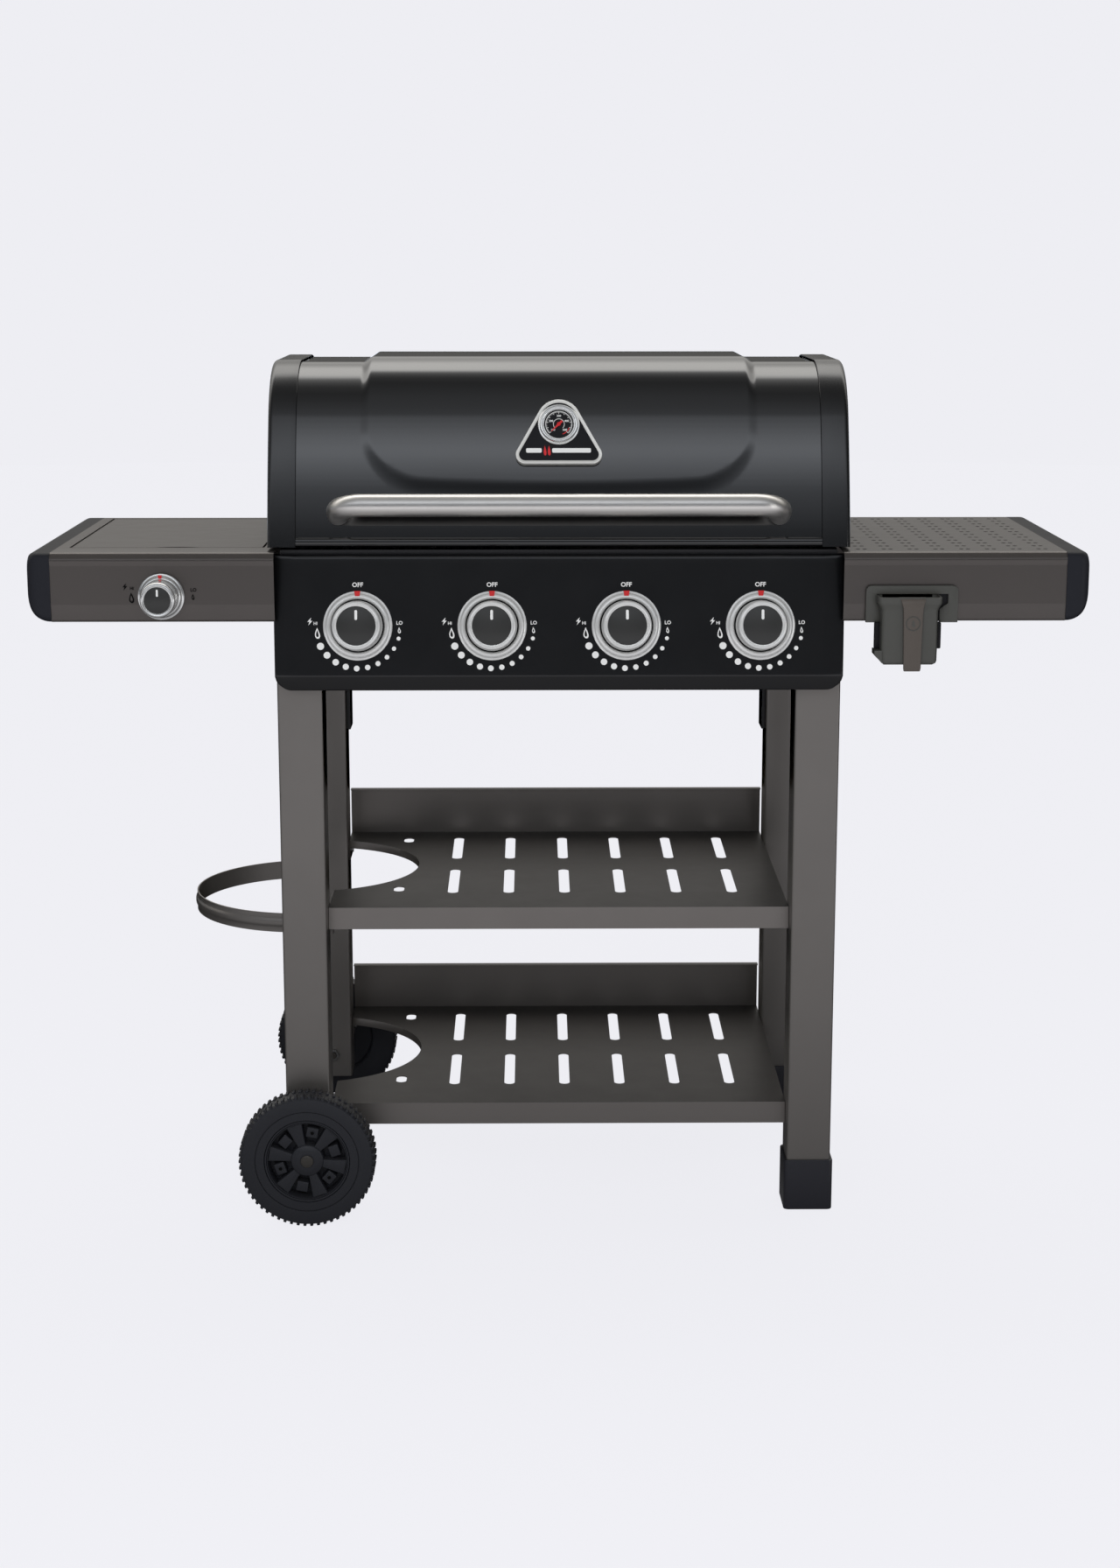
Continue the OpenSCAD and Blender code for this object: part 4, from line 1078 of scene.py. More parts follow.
def make_controls():
    """The five knobs with their rings, dark wells, red tabs and printed marks."""
    rings = [make_bezel(panel_place(x), 43.3, 33.0, "ring") for x in KNOB_XS]
    dress(shade(joined("knob_rings", rings)), CHROME, "cart", "chrome", "knob_bezels")
    wells = []
    tabs = []
    for i, x in enumerate(KNOB_XS, start=1):
        place = panel_place(x)
        make_knob(f"knob_{i}", f"dial_{i}", place, 30.6, 24.4, CHROME)
        knob_marks(f"panel_marks_{i}", place, PRINT_WHITE, "chrome", 1.0, PANEL_SPOTS, True)
        well = [(31.8, 0.1), (35.8, 0.1), (35.8, 4.6), (31.8, 2.0), (31.8, 0.1)]
        wells.append(lathed("well", well, 96, place=place))
        tabs.append(make_tab(place @ moved(0, 40.2, 6.6), 3.8, 2.8, 3.2, 2.2))
    place = side_place()
    make_knob("side_knob", "side_dial", place, 22.0, 16.5, BRIGHT_CHROME)
    dress(make_bezel(place, 29.0, 23.3, "side_ring"), BRIGHT_CHROME, "cart", "chrome", "side_bezel")
    knob_marks("side_marks", place, PRINT_AND_SHADE_BLACK, "black_paint", 0.95, SIDE_SPOTS, False)
    tabs.append(make_tab(place @ moved(0, 25.6, 7.2), 2.4, 2.0, 2.0, 1.6))
    dress(joined("red_tabs", tabs), RED_PAINT, "cart", "red_paint")
    dress(joined("knob_wells", wells), DIAL_BLACK, "cart", "black_paint")


def panel_section():
    """The panel's section from its top to its bottom, as (y, z) points close together."""
    back, low, top = PANEL_HIGH.y, PANEL_LOW.z, PANEL_HIGH.z
    section = fillet(
        [(back, top), (PANEL_TOP_Y, top), PANEL_BEND, (PANEL_BEND[0] + 10.0, low), (back, low)],
        [12.0, 5.0, 4.0], steps=6,
    )
    dense = []
    for first, second in zip(section, section[1:]):
        count = max(1, int((second - first).length / 6))
        dense += [first.lerp(second, i / count) for i in range(count)]
    return dense + [section[-1]]


def panel_row(y, z, facing):
    """The panel from side to side at one point of its section; facing is 1 on its front, 0 on its top."""
    back, low, top = PANEL_HIGH.y, PANEL_LOW.z, PANEL_HIGH.z
    half_top, half_low = PANEL_HIGH.x + 3.5, PANEL_HIGH.x + 1.5
    border, drop, edge_r, corner = 24.0, 2.6, 3.0, 20.0
    half = half_low + (half_top - half_low) * (z - low) / (top - low)
    if z < low + corner:
        half -= corner - math.sqrt(max(0.0, corner ** 2 - (low + corner - z) ** 2))
    columns = [(half, back)]
    for k in range(6):
        angle = math.radians(90 - 18 * k)
        sunk = drop * facing + edge_r * (1 - math.cos(angle)) * facing
        columns.append((half - edge_r + edge_r * math.sin(angle), y + sunk))
    columns += [(half - border, y + 0.35 * facing), (half - border - 3.0, y)]
    columns += [(half * 0.6, y), (half * 0.3, y)]
    left = [(-x, min(depth, back), z) for x, depth in columns]
    right = [(x, min(depth, back), z) for x, depth in reversed(columns)]
    return left + [(0.0, y, z)] + right


def make_control_panel():
    """The pressed front: a leaning face with a soft border, a bevelled lower edge and closed ends."""
    section = panel_section()
    rings = []
    for i, point in enumerate(section):
        tangent = (section[min(i + 1, len(section) - 1)] - section[max(i - 1, 0)]).normalized()
        normal = Vector((tangent.y, -tangent.x))
        if normal.x > 0 and abs(normal.y) < 0.9:
            normal = -normal
        rings.append(panel_row(*point, max(0.0, -normal.x)))
    panel = thickened(piece("control_panel_skin", *loft(rings, closed=False), angle=32), 1.4, 32)
    dress(panel, PANEL_PAINT, "cart", "black_paint", "control_panel")


# ---------------------------------------------------------------- side shelves


def side_section():
    """The steel of a side shelf from the front's inner lip over the top to the rear lip, as (y, z)."""
    y0, y1, low, top = SIDE_LOW.y, SIDE_HIGH.y, SIDE_LOW.z, SIDE_HIGH.z
    corners = [
        (y0 + 12, low), (y0 + 3.0, low), (y0 + 1.2, low + 22), (y0 + 1.2, top - 16), (y0, top - 8),
        (y0 + 7, top), (y1 - 7, top), (y1, top - 8), (y1, low), (y1 - 12, low),
    ]
    return fillet(corners, [4, 3, 3, 6, 7, 7, 6, 4], steps=5)


def side_skin(name, side, hole_x, hole_y):
    """The steel of a side shelf with a rectangular opening left in its top."""
    whole, section = side_section(), []
    top = SIDE_HIGH.z
    for first, second in zip(whole, whole[1:]):
        section.append(first)
        if abs(first.y - top) < 0.01 and abs(second.y - top) < 0.01:
            section += [Vector((y, top)) for y in hole_y]
    section.append(whole[-1])
    xs = [SIDE_LOW.x, hole_x[0], hole_x[1], SIDE_HIGH.x]
    points = [(side * x, p.x, p.y) for p in section for x in xs]
    faces = []
    for i in range(len(section) - 1):
        for j in range(len(xs) - 1):
            middle = (section[i].x + section[i + 1].x) / 2
            on_top = abs(section[i].y - top) < 0.01 and abs(section[i + 1].y - top) < 0.01
            if on_top and j == 1 and hole_y[0] < middle < hole_y[1]:
                continue
            a, b = i * len(xs) + j, (i + 1) * len(xs) + j
            faces.append((a, a + 1, b + 1, b))

    def top_upward(shape):
        high = [f for f in shape.faces if f.calc_center_median().z > (top - 1) * MM]
        flat = [f for f in high if abs(f.normal.z) > 0.99]
        if flat and flat[0].normal.z < 0:
            bmesh.ops.reverse_faces(shape, faces=shape.faces)
    return thickened(edit_mesh(piece(name, points, faces, angle=24), top_upward), 1.2, 24)


def make_perforated_cell(pitch_x, pitch_y, hole_r, shift, wall, segments=16):
    """One cell of the shelf top with a pair of drilled holes, with thickness."""
    points, faces = [], []

    def add(x, y, z):
        points.append((x, y, z))
        return len(points) - 1
    for side in (-1, 1):
        centre = side * shift
        x0, x1 = sorted((0.0, side * pitch_x / 2))
        loops = {}
        for z in (0.0, -wall):
            outer, inner = [], []
            for k in range(segments):
                angle = 2 * math.pi * (k + 0.5) / segments
                dx, dy = math.cos(angle), math.sin(angle)
                reach_x = ((x1 if dx > 0 else x0) - centre) / dx if abs(dx) > 1e-9 else 1e9
                reach_y = (pitch_y / 2) / abs(dy) if abs(dy) > 1e-9 else 1e9
                reach = min(abs(reach_x), reach_y)
                outer.append(add(centre + dx * reach, dy * reach, z))
                inner.append(add(centre + dx * hole_r, dy * hole_r, z))
            spread = [(x, y) for x in (x0, x1) for y in (-pitch_y / 2, pitch_y / 2)]
            corners = [add(x, y, z) for x, y in spread]
            loops[z] = (outer, inner, corners)
        for z in (0.0, -wall):
            outer, inner, corners = loops[z]
            for k in range(segments):
                m = (k + 1) % segments
                first, second = points[outer[k]], points[outer[m]]
                ring = [inner[k], outer[k], outer[m], inner[m]]
                if abs(first[0] - second[0]) > 1e-6 and abs(first[1] - second[1]) > 1e-6:
                    wanted = Vector((
                        x1 if abs(first[0] - x1) < 1e-6 or abs(second[0] - x1) < 1e-6 else x0,
                        math.copysign(pitch_y / 2, first[1] + second[1]), z,
                    ))
                    corner = min(corners, key=lambda c: (Vector(points[c]) - wanted).length)
                    ring = [inner[k], outer[k], corner, outer[m], inner[m]]
                faces.append(tuple(reversed(ring)) if z < 0 else tuple(ring))
        for k in range(segments):
            m = (k + 1) % segments
            top_ring, low_ring = loops[0.0][1], loops[-wall][1]
            faces.append((top_ring[k], top_ring[m], low_ring[m], low_ring[k]))
    mesh = bpy.data.meshes.new("cell")
    mesh.from_pydata([tuple(Vector(p) * MM) for p in points], [], faces)
    return new_object("cell", mesh)


HOLE_R = 3.0
HOLE_SHIFT = 4.25


def make_right_shelf():
    """The right shelf: steel with rows of drilled pairs of holes, each hole with a thin black tube inside as
    painted shade.
    """
    columns, rows, pitch_x, pitch_y = 8, 12, 32.5, 33.0
    x, y = 380.0 + (columns - 1) * pitch_x / 2, -225.0 + (rows - 1) * pitch_y / 2
    half_x, half_y = columns * pitch_x / 2, rows * pitch_y / 2
    skin = side_skin("right_steel", 1, (x - half_x, x + half_x), (y - half_y, y + half_y))
    spread = {"Columns": columns, "Rows": rows, "Pitch_X": pitch_x * MM, "Pitch_Y": pitch_y * MM}
    place = moved(x, y, SIDE_HIGH.z)
    cell = make_perforated_cell(pitch_x, pitch_y, HOLE_R, HOLE_SHIFT, 0.25)
    grid = repeat("perforations", GRID_TREE, cell, SHELF_PAINT, place, **spread)
    # Thin black tubes inside the holes: painted shade that keeps the holes dark.
    shade_tubes = []
    for shift in (-HOLE_SHIFT, HOLE_SHIFT):
        tube = lathed("hole_lining", band(HOLE_R - 0.1, HOLE_R + 0.1, -0.05, -3.0), 16)
        tube.data.transform(moved(shift, 0, 0))
        shade_tubes.append(repeat("linings", GRID_TREE, tube, PRINT_AND_SHADE_BLACK, place, **spread))
    dress(shade(joined("hole_linings", shade_tubes)), PRINT_AND_SHADE_BLACK, "cart", "grey_paint")

    def merge(shape):
        bmesh.ops.remove_doubles(shape, verts=shape.verts, dist=2 * MERGE)
    right = edit_mesh(joined("right_shelf_steel", [skin, grid]), merge)
    dress(shade(right, 24), SHELF_PAINT, "cart", "grey_paint", "right_shelf")


def make_left_shelf():
    """The left shelf, with an opening for the side burner and walls along its sides."""
    low, high = box_mm("side_cover")
    grip, top = 3.0, SIDE_HIGH.z
    sheet = side_skin("left_shelf_steel", -1, (-high.x - grip, -low.x + grip), (low.y - grip, high.y + grip))
    parts = [sheet]
    for x in (low.x - grip - 1.5, high.x + grip):
        parts.append(block("rim_wall", (x, low.y - 10, top - 18), (x + 1.5, high.y + 8, top - 1.3), 0.3))
    left = shade(joined("left_shelf_sheet", parts), 24)
    dress(left, SHELF_PAINT, "cart", "grey_paint", "left_shelf")


def make_end_cap(side):
    """The moulded end of a side shelf, open towards the steel."""
    low, high = CAP_LOW, CAP_HIGH
    rings = []

    def drawn_in(x, radius):
        """How far an edge rounded by radius has come in at x."""
        past = max(0.0, x - (high.x - radius))
        return radius - math.sqrt(max(0.0, radius ** 2 - past ** 2))
    depths = (29, 25, 21, 17, 13, 10, 7.5, 5, 3, 1.6, 0.7, 0.2, 0)
    for x in [low.x, low.x + 0.4] + [high.x - depth for depth in depths]:
        side_in, low_in, top_in = drawn_in(x, 14.0), drawn_in(x, 29.0), drawn_in(x, 11.0)
        half_y = (high.y - low.y) / 2 - side_in
        half_z = (high.z - low.z - low_in - top_in) / 2
        mid_z = (high.z - top_in + low.z + low_in) / 2
        outline = round_outline(half_y, half_z, 9.0 + 0.4 * side_in, 7)
        rings.append([(side * x, (high.y + low.y) / 2 + y, mid_z + z) for y, z in outline])
    count = len(rings[0])
    points, faces = loft(rings, cap=False)
    faces.append(tuple((len(rings) - 1) * count + j for j in range(count)))
    hand = "left" if side < 0 else "right"
    cap = thickened(piece(f"{hand}_end_moulding", points, faces, angle=40), 2.5, 40)
    dress(cap, CAP_PLASTIC_TOP_SHADED, "cart", "black_plastic", f"{hand}_end_cap")


# ---------------------------------------------------------------- cart


def make_leg(node):
    """A square tube with rounded corners."""
    low, high = box_mm(node)
    middle, half, wall = (low + high) / 2, (high - low) / 2, 1.5
    rings = []
    levels = [
        (0, low.z + 0.4), (0, high.z - 0.4), (0.3, high.z), (wall, high.z), (wall, low.z), (0.3, low.z),
    ]
    for inset, z in levels:
        outline = round_outline(half.x - inset, half.y - inset, 3.6 - min(inset, 1.5), 5)
        rings.append(level(outline, middle.x, middle.y, z))
    points, faces = loft(rings + [rings[0]], cap=False)
    dress(piece(f"{node}_tube", points, faces), GREY_PAINT, "cart", "grey_paint", node)


def make_foot_caps():
    """The two plastic shoes under the right legs."""
    low, high = box_mm("foot_caps")
    feet = []
    for node in ("leg_front_right", "leg_rear_right"):
        leg_low, leg_high = box_mm(node)
        middle = (leg_low + leg_high) / 2
        wall = box_mm("leg_front_right")[0].x - low.x
        half = (leg_high.x - leg_low.x) / 2 + wall
        levels = [
            (1.8, 0.0), (0.5, 0.6), (0.0, 2.0), (0.0, 9.0), (0.0, high.z - 1.6), (0.5, high.z - 0.4),
            (1.6, high.z), (wall - 0.15, high.z - 0.6), (wall - 0.15, high.z - 5),
        ]
        rings = []
        for inset, z in levels:
            outline = round_outline(half - inset, half - inset, 6.0 - 0.5 * inset, 6)
            rings.append(level(outline, middle.x, middle.y, z))
        feet.append(lofted("foot", rings, angle=40))
    dress(shade(joined("foot_mouldings", feet), 40), FOOT_PLASTIC, "cart", "black_plastic", "foot_caps")


def make_cylinder_ring():
    """The beaded strap for the gas cylinder and the tabs that hold it."""
    base = box_mm("cylinder_ring")[0].z
    top, mid = base + 26.0, base + 13.0
    bead = [(2, -6.5), (2.6, -5), (3.7, -3.4), (4, -1.5), (4, 1.5), (3.7, 3.4), (2.6, 5), (2, 6.5)]
    profile = [(0, base + 0.4), (0.4, base), (1.6, base), (2, base + 0.4)]
    profile += [(out, mid + z) for out, z in bead]
    profile += [(2, top - 0.4), (1.6, top), (0.4, top), (0, top - 0.4), (0, base + 0.4)]
    skin = lathe([(RING_R + out, z) for out, z in profile], 110, 94.7, 192.8)
    strap = piece("band", *skin, place=moved(*RING_CENTRE, 0))
    leg_out = -357.5
    tab_a = block("tab_a", (leg_out - 1.6, 185, base), (leg_out, 215, top), 0.5)
    tab_b = block("tab_b", (-301.3, -125, base), (-299.7, -95, 402), 0.5)
    whole = shade(joined("cylinder_strap", [strap, tab_a, tab_b]))
    dress(whole, GREY_PAINT, "cart", "grey_paint", "cylinder_ring")


# ---------------------------------------------------------------- wheels


def wheel_tyre(tread, width):
    """The tyre in section: grooved side walls and a flat tread."""
    profile = [
        (50.6, 4.4), (51.2, 3.0), (51.9, 3.0), (52.3, 4.0), (52.9, 2.4),
        (54.6, 2.2), (55.2, 3.4), (56.0, 1.6),
        (66.4, 1.2), (66.8, 2.4), (67.4, 2.4), (67.8, 0.9), (79, 0.2), (tread - 3, 1.2),
        (tread - 0.8, 3.4), (tread, 6.5), (tread, width - 6.5), (tread - 0.8, width - 3.4),
        (tread - 3, width - 1.2), (78, width - 0.2), (68, width - 0.9),
        (53.5, width - 3), (51, width - 6), (50.0, width / 2), (50.0, 9), (50.6, 4.4),
    ]
    return lathed("tyre", profile, 124, angle=30)


def wheel_hub(width):
    """The stepped hub with the axle's hole."""
    profile = [
        (5.1, 2.4), (8.5, 2.4), (9.0, 3.0), (13.5, 3.0), (14.5, 3.4), (19.5, 4.6), (20.8, 5.6),
        (21.6, 7.6), (21.6, 24.0), (16.5, 25.0), (16.0, width), (5.1, width), (5.1, 2.4),
    ]
    return lathed("hub", profile, 72, angle=30)


def wheel_spoke(middle):
    """A spoke with soft edges round the angle given, wider at the hub."""
    sweep = [(20.5, 14.5), (26.0, 13.0), (36.0, 12.2), (50.5, 11.8)]
    section = [(-1, 1.2), (-0.93, 0.3), (-0.8, 0), (0.8, 0), (0.93, 0.3), (1, 1.2), (1, 12), (-1, 12)]
    rings = []
    for r, half in sweep:
        z = 6.6 - 0.03 * (r - 22)
        angles = [math.radians(middle + share * half) for share, _ in section]
        rings.append([(r * math.cos(a), r * math.sin(a), z + dz) for a, (_, dz) in zip(angles, section)])
    return lofted("spoke", rings, angle=30)


def wheel_lugs(tread, width):
    """Two staggered rows of lugs round the tread."""
    rows, step = [], 2 * math.pi / LUG_COUNT
    for start, end, phase in ((1.9, 15.0, 0.0), (23.0, width - 1.9, 0.5)):
        lug = block("lug", (-5.5, -2.0, start), (LUG, 2.0, end), 0.8)
        rows.append(repeat("lugs", ARC_TREE, lug, WHEEL_PLASTIC, Matrix.Identity(4), Count=LUG_COUNT,
                           Radius=tread * MM, Start=phase * step, Step=step))
    return rows


def make_wheel(node, body):
    """A moulded wheel with a lugged tread, a grooved side wall, six windows and a stepped hub."""
    low, high = box_mm(node)
    width, tread = high.y - low.y, (high.z - low.z) / 2 - LUG
    parts, holes = [wheel_tyre(tread, width), wheel_hub(width)], []
    for k in range(6):
        window = -19 - 60 * k
        turn = turned(window, "Z")
        pad = block("pad", (30.5, -7.6, 8.6), (44.0, 7.6, 26.0), 1.0)
        pad.data.transform(turn)
        parts += [wheel_spoke(window + 30), pad]
        if k % 2 == 1:
            spot = turn @ moved(37.0, 0, 0)
            boss = [(2.4, 8.0), (3.4, 8.0), (3.8, 9), (2.4, 9), (2.4, 8.0)]
            parts.append(lathed("boss", boss, 32, place=spot))
            # A thin black disc inside the boss stands for the screw hole: painted shade.
            holes.append(lathed("hole", disc(2.5, 8.4, 8.8), 24, place=spot))
    parts.append(lathed("web", band(21.0, 50.4, 24.5, 26.5), 72, angle=30))
    front = node == "wheel_front"
    middle = (low + high) / 2
    place = moved(middle.x, low.y if front else high.y, middle.z) @ turned(-90 if front else 90, "X")
    whole = joined(f"{node}_moulding", parts + wheel_lugs(tread, width))
    marks = joined(f"{node}_screw_holes", holes)
    for obj in (whole, marks):
        obj.data.transform(place)
    dress(shade(whole, 32), WHEEL_PLASTIC, body, "black_plastic", node)
    dress(marks, PRINT_AND_SHADE_BLACK, body, "black_plastic")


def make_axle_caps():
    """Round heads of the stub axles."""
    low, high = box_mm("axle_bolts")
    parts = []
    for side, y in ((-1, low.y), (1, high.y)):
        place = moved(AXLE[0], y, AXLE[1]) @ turned(-90 * side, "X")
        profile = [
            (0, 0.0), (3.2, 0.0), (6.8, -0.5), (8.0, -1.2), (8.3, -2.0),
            (5.0, -2.0), (5.0, -123.5), (0, -123.5),
        ]
        parts.append(lathed("axle", profile, 48, place=place))
    dress(shade(joined("axle_stubs", parts)), AXLE_STEEL, "cart", "plain_steel", "axle_bolts")


# ---------------------------------------------------------------- cup


def make_cup_plate():
    """The cup's mounting plate: an arch with round outer corners."""
    outer = [(497, 789), (497, 835), (382, 835), (382, 789)]
    outer = [tuple(p) for p in fillet(outer, [8.0, 8.0], steps=6)]
    arch = [
        (403, 789), (403, 806), (395.5, 813), (395.5, 824.5), (484.5, 824.5), (484.5, 813), (474, 806),
        (474, 789),
    ]
    rings = [[(x, y, z) for x, z in outer + arch] for y in (-267.4, -262.3)]
    return bevelled(lofted("cup_plate", rings), 0.7, 2, 30)


def make_cup_body():
    """The open cup with a wide rim and chamfered lower corners."""
    left, right, front, back = 394.2, 473.6, -296.0, -263.2
    levels = [
        (8.0, 4.0, 740.0), (6.0, 3.0, 741.2), (4.9, 2.5, 744.0), (4.6, 2.5, 760.0), (4.6, 2.5, 806.0),
        (3.8, 2.0, 809.5), (0.8, 0.5, 814.6), (0.0, 0.0, 816.6), (0.0, 0.0, 823.2), (0.6, 0.6, 824.0),
        (2.4, 2.4, 824.0), (2.8, 2.6, 815.6), (6.6, 5.0, 808.0), (6.8, 5.2, 760.0), (8.8, 6.0, 744.0),
    ]
    rings = []
    for in_x, in_y, z in levels:
        outline = round_outline((right - left) / 2 - in_x, (back - front) / 2 - in_y / 2, 6.0, 6)
        rings.append(level(outline, (left + right) / 2, (back + front + in_y) / 2, z))
    return lofted("cup_body", rings, angle=30)


def make_cup_base():
    """The block under the cup, set to one side and chamfered there."""
    outline = [(391, 757), (391, 751), (402.5, 739.5), (463.0, 739.5), (465.8, 742.0), (465.8, 757)]
    return piece("cup_base", *loft([[(x, y, z) for x, z in outline] for y in (-291.0, -265.0)]))


def make_cup_tongue():
    """The strap down the cup's front."""
    levels = [
        (823.5, -291.0, 16.5), (822.6, -295.5, 16.2), (820.0, -298.2, 15.2), (816.0, -299.3, 14.0),
        (811.0, -299.4, 12.6), (800.0, -299.4, 12.0), (760.0, -299.4, 11.2), (736.0, -299.4, 10.8),
        (732.6, -298.8, 10.2), (732.0, -297.8, 9.6),
    ]
    rings = []
    for z, y, half in levels:
        outline = round_outline(half, 1.6, 1.0, 3)
        rings.append(level(outline, TONGUE_X, y + 1.6, z))
    return lofted("cup_tongue", rings, angle=40)


def make_cup():
    """The hanging cup with its plate, hooks, tongue and a drop in a ring pressed on the tongue."""
    parts = [make_cup_plate(), make_cup_body(), make_cup_base()]
    place = moved(TONGUE_X, -299.3, 792.0) @ turned(90, "X")
    ring = [(7.9, 0), (9.3, 0), (9.3, 0.3), (9.0, 0.6), (8.2, 0.6), (7.9, 0.3), (7.9, 0)]
    marks = [lathed("cup_ring_mark", ring, 48, place=place)]
    marks.append(flat_piece("cup_drop", flame_outline(6.0, 9.0), 0.5, place=place))
    dress(joined("cup_marks", marks), CUP_PLASTIC, "hanging_cup", "cup_plastic")
    dress(make_cup_tongue(), CUP_STRAP, "hanging_cup", "cup_plastic")
    cup = shade(joined("cup_mouldings", parts), 30)
    dress(cup, CUP_PLASTIC, "hanging_cup", "cup_plastic", "accessory_cup")
    # The first block is a thin black sheet at the back of the plate's arch: painted shade in the recess
    # behind the cup.
    hooks = [
        block("recess", (394.0, -263.1, 790.0), (486.0, -262.4, 826.0), 0),
        block("hook_left", (392.6, -275.0, 757.0), (402.0, -266.0, 790.0), 1.5),
        block("hook_right", (467.5, -275.0, 757.0), (475.6, -266.0, 790.0), 1.5),
    ]
    dress(joined("cup_hooks", hooks), DIAL_BLACK, "hanging_cup", "cup_plastic")


# ---------------------------------------------------------------- burners


def make_burner_ports():
    """Rows of thin black discs along both sides of the burner tubes: painted shade in place of the flame
    ports.
    """
    low, high = box_mm("main_burners")
    radius, z = 13.0, (low.z + high.z) / 2
    parts = []
    for x in KNOB_XS:
        for side in (-1, 1):
            port = lathed("port", disc(1.3, 0, 0.15), 12)
            place = moved(x, -10.0, z) @ turned(side * 62, "Y") @ moved(0, 0, radius - 0.02)
            parts.append(repeat("ports", GRID_TREE, port, PRINT_AND_SHADE_BLACK, place, Columns=1, Rows=42,
                                Pitch_X=1.0 * MM, Pitch_Y=8.4 * MM))
    dress(joined("flame_ports", parts), PRINT_AND_SHADE_BLACK, "cart", "black_paint")


# ---------------------------------------------------------------- the rest of the CAD nodes

# Node, material, body, slot and the width of its rounded edges
SOFTENED = [
    ("upper_shelf", RACK_PAINT_TOP_SHADED, "cart", "grey_paint", 0.6),
    ("lower_shelf", RACK_PAINT_TOP_SHADED, "cart", "grey_paint", 0.6),
    ("leg_brackets", BODY_BLACK, "cart", "black_paint", 1.0),
    ("firebox", BODY_BLACK, "cart", "black_paint", 0.6),
    ("tray_rails", BODY_BLACK, "cart", "black_paint", 0.4),
    ("shelf_supports", BODY_BLACK, "cart", "black_paint", 0.8),
    ("hinge_brackets", BODY_BLACK, "cart", "black_paint", 0.5),
    ("side_cover", SHELF_PAINT, "burner_cover", "grey_paint", 0.6),
    ("burner_bowl", SHEET_STEEL, "cart", "plain_steel", 0.5),
    ("drip_tray", SHEET_STEEL, "grease_tray", "plain_steel", 0.5),
    ("cooking_grate", CAST_IRON, "cart", "cast_iron", 1.4),
    ("griddle_plate", CAST_IRON, "cart", "cast_iron", 1.6),
    ("flame_tamers", SHEET_STEEL, "cart", "plain_steel", 0.3),
    ("gas_manifold", ZINC, "cart", "plain_steel", 0.3),
    ("gas_inlet", BRASS, "cart", "brass", 0.4),
    ("valve_bodies", BRASS, "cart", "brass", 0.8),
    ("side_valve", BRASS, "cart", "brass", 0.8),
    ("side_burner", CAST_IRON, "cart", "cast_iron", 1.0),
    ("axle_nuts", ZINC, "cart", "plain_steel", 0.6),
    ("frame_bolts", ZINC, "cart", "plain_steel", 0.4),
]
KEPT = {
    "main_burners": SHEET_STEEL, "igniters": CERAMIC, "warming_rack": CHROME, "pan_support": CAST_IRON,
    "cover_pins": ZINC, "axle_spacers": WHEEL_PLASTIC, "side_stem": ZINC,
    "valve_stem_1": ZINC, "valve_stem_2": ZINC, "valve_stem_3": ZINC, "valve_stem_4": ZINC,
}


def finish_cad_nodes():
    """Softens the plain nodes and paints those that stay as they are."""
    for row in SOFTENED:
        soften(*row)
    for node, material in KEPT.items():
        mesh = NODES[node].data
        mesh.materials.clear()
        mesh.materials.append(material)


# ---------------------------------------------------------------- stage

BACKDROP = srgb(238, 238, 243)
FLOOR_TONE = srgb(72, 72, 74)
FLOOR_GLOW = 0.955
# Brightness of the floor in reflections by the distance in front of the object, in metres
FLOOR_BOUNCE = [
    (-1.0, 0.0), (0.0, 0.05), (0.4, 0.25), (1.5, 0.6), (3.0, 1.1), (4.5, 1.1), (6.0, 0.55), (9.0, 0.3),
]
FLOOR_SPAN = (1.0, 10.0)
FLOOR_R = 12000.0
FRONT_TINT = (0.9, 0.97, 1.09, 1.0)
REAR_TINT = (1.02, 1.0, 0.965, 1.0)


def value_curve(tree, source, stops):
    """A value read off straight lines between (position, value) stops, with positions from 0 to 1."""
    curve = tree.nodes.new("ShaderNodeFloatCurve")
    points = curve.mapping.curves[0].points
    while len(points) < len(stops):
        points.new(0.5, 0.5)
    brightest = max(value for _, value in stops)
    for point, (position, value) in zip(points, stops):
        point.location = (position, value / brightest)
        point.handle_type = "VECTOR"
    curve.mapping.update()
    tree.links.new(source, curve.inputs["Value"])
    return times(tree, curve.outputs[0], brightest)


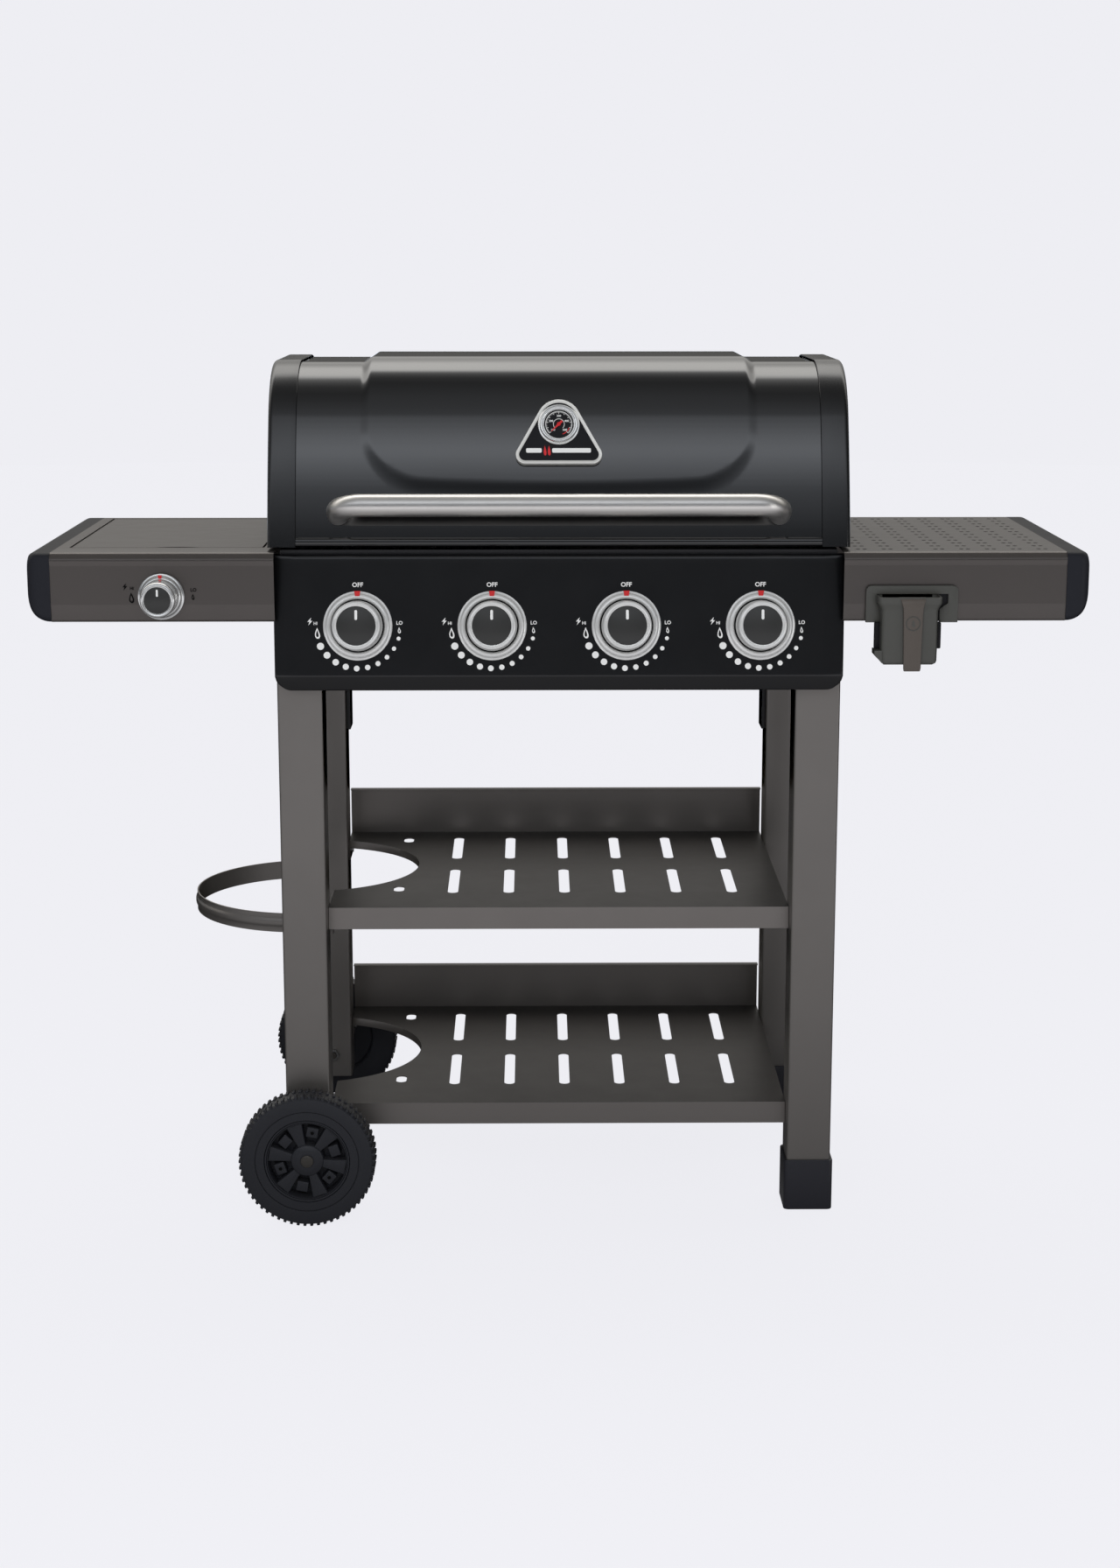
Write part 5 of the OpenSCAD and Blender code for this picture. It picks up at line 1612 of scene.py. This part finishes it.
def make_floor():
    """A pale plain floor, as bright as the backdrop to the eye and dimmer in reflections."""
    material, tree, shader, coordinates = blank_material("studio_floor")
    speck = noise_node(tree, coordinates, 40.0, 3.0)
    ramp = tree.nodes.new("ShaderNodeMapRange")
    ramp.inputs["To Min"].default_value = 0.66
    ramp.inputs["To Max"].default_value = 0.74
    tree.links.new(speck, ramp.inputs["Value"])
    tree.links.new(ramp.outputs[0], shader.inputs["Roughness"])
    shader.inputs["Specular IOR Level"].default_value = 0.0
    shader.inputs["Emission Color"].default_value = BACKDROP
    ahead = minus(tree, FLOOR_SPAN[0], axes(tree, coordinates)["Y"])
    share = math_node(tree, "DIVIDE", ahead, FLOOR_SPAN[1])
    bounce = value_curve(tree, share, [((y + FLOOR_SPAN[0]) / FLOOR_SPAN[1], v) for y, v in FLOOR_BOUNCE])
    seen = tree.nodes.new("ShaderNodeLightPath").outputs["Is Camera Ray"]
    unseen = times(tree, bounce, minus(tree, 1.0, seen))
    tree.links.new(mixed(tree, seen, srgb(30, 30, 30), FLOOR_TONE), shader.inputs["Base Color"])
    glow = times(tree, seen, FLOOR_GLOW)
    tree.links.new(plus(tree, glow, unseen), shader.inputs["Emission Strength"])
    floor = lathed("studio_floor", [(0, 0), (900, 0), (3000, 0), (FLOOR_R, 0)], 96, angle=60)

    def face_up(shape):
        bmesh.ops.reverse_faces(shape, faces=[f for f in shape.faces if f.normal.z < 0])
    edit_mesh(floor, face_up)
    floor.data.materials.append(material)


# Brightness of the studio by the angle up from the front, over the top and down to the rear
STUDIO = [
    (0, 0.14), (6, 0.1), (12, 0.1), (18, 0.16), (22, 0.34), (27, 0.55), (31, 1.1), (34, 1.5), (36.5, 1.25),
    (40, 0.7), (46, 0.42), (55, 0.33), (66, 0.24), (78, 0.18), (90, 0.24), (98, 0.45), (105, 0.8),
    (111, 2.2), (116, 2.7), (126, 2.2), (136, 1.6), (142, 1.05), (150, 0.62), (165, 0.45), (171, 0.34),
    (175, 0.12), (180, 0.06),
]


def make_world():
    """A pale studio with long soft strips of light that run from side to side."""
    world = bpy.data.worlds.new("studio")
    bpy.context.scene.world = world
    world.use_nodes = True
    tree = world.node_tree
    background = tree.nodes["Background"]
    coordinates = tree.nodes.new("ShaderNodeTexCoord").outputs["Generated"]
    split = axes(tree, coordinates)
    angle = math_node(tree, "ARCTAN2", split["Z"], times(tree, split["Y"], -1.0))
    half_turns = math_node(tree, "DIVIDE", angle, math.pi)
    across = split["X"]
    ends = times(tree, times(tree, across, across), -0.8)
    side = plus(tree, plus(tree, ends, times(tree, across, -0.15)), 1.0)
    glow = value_curve(tree, half_turns, [(degrees / 180, value) for degrees, value in STUDIO])
    glow = times(tree, glow, math_node(tree, "MAXIMUM", side, 0.05))
    rearward = math_node(tree, "DIVIDE", angle, math.radians(120), clamp=True)
    light = scaled(tree, mixed(tree, rearward, FRONT_TINT, REAR_TINT), glow)
    seen = tree.nodes.new("ShaderNodeLightPath").outputs["Is Camera Ray"]
    tree.links.new(mixed(tree, seen, light, BACKDROP), background.inputs["Color"])


def soft_light(name, place, aim, size, power, glossy=True):
    """A rectangular softbox that points at aim."""
    data = bpy.data.lights.new(name, "AREA")
    data.shape = "RECTANGLE"
    data.size, data.size_y = size
    data.energy = power
    light = new_object(name, data)
    light.location = place
    light.rotation_euler = (Vector(aim) - Vector(place)).to_track_quat("-Z", "Y").to_euler()
    light.visible_glossy = glossy


def make_lights():
    """A softbox on the right and a broad fill from the front."""
    soft_light("right_softbox", (3.8, -2.4, 0.9), (0, 0, 0.6), (1.0, 1.6), 9)
    soft_light("front_fill", (-0.3, -3.8, 1.7), (0, 0, 0.7), (3.0, 2.0), 60, glossy=False)


def make_camera():
    """A camera at chest height that looks slightly down."""
    data = bpy.data.cameras.new("camera")
    data.lens = 59.26
    data.sensor_width = 36.0
    data.sensor_fit = "AUTO"
    camera = new_object("camera", data)
    camera.location = (-0.0327, -3.457, 1.2495)
    camera.rotation_euler = (math.pi / 2 - 0.2057, 0.0, -0.0105)
    bpy.context.scene.camera = camera


make_camera()
make_lights()
make_world()
make_floor()
make_lid_shell()
for hand_side in (-1, 1):
    make_lid_end(hand_side)
make_handle()
make_name_plate()
make_gauge()
make_control_panel()
make_controls()
make_right_shelf()
make_left_shelf()
for hand_side in (-1, 1):
    make_end_cap(hand_side)
for leg in ("leg_front_left", "leg_front_right", "leg_rear_left", "leg_rear_right"):
    make_leg(leg)
make_foot_caps()
make_cylinder_ring()
make_wheel("wheel_front", "front_wheel")
make_wheel("wheel_rear", "rear_wheel")
make_axle_caps()
make_cup()
make_burner_ports()
finish_cad_nodes()
bpy.context.scene.view_settings.view_transform = "Standard"

bpy.context.view_layer.update()
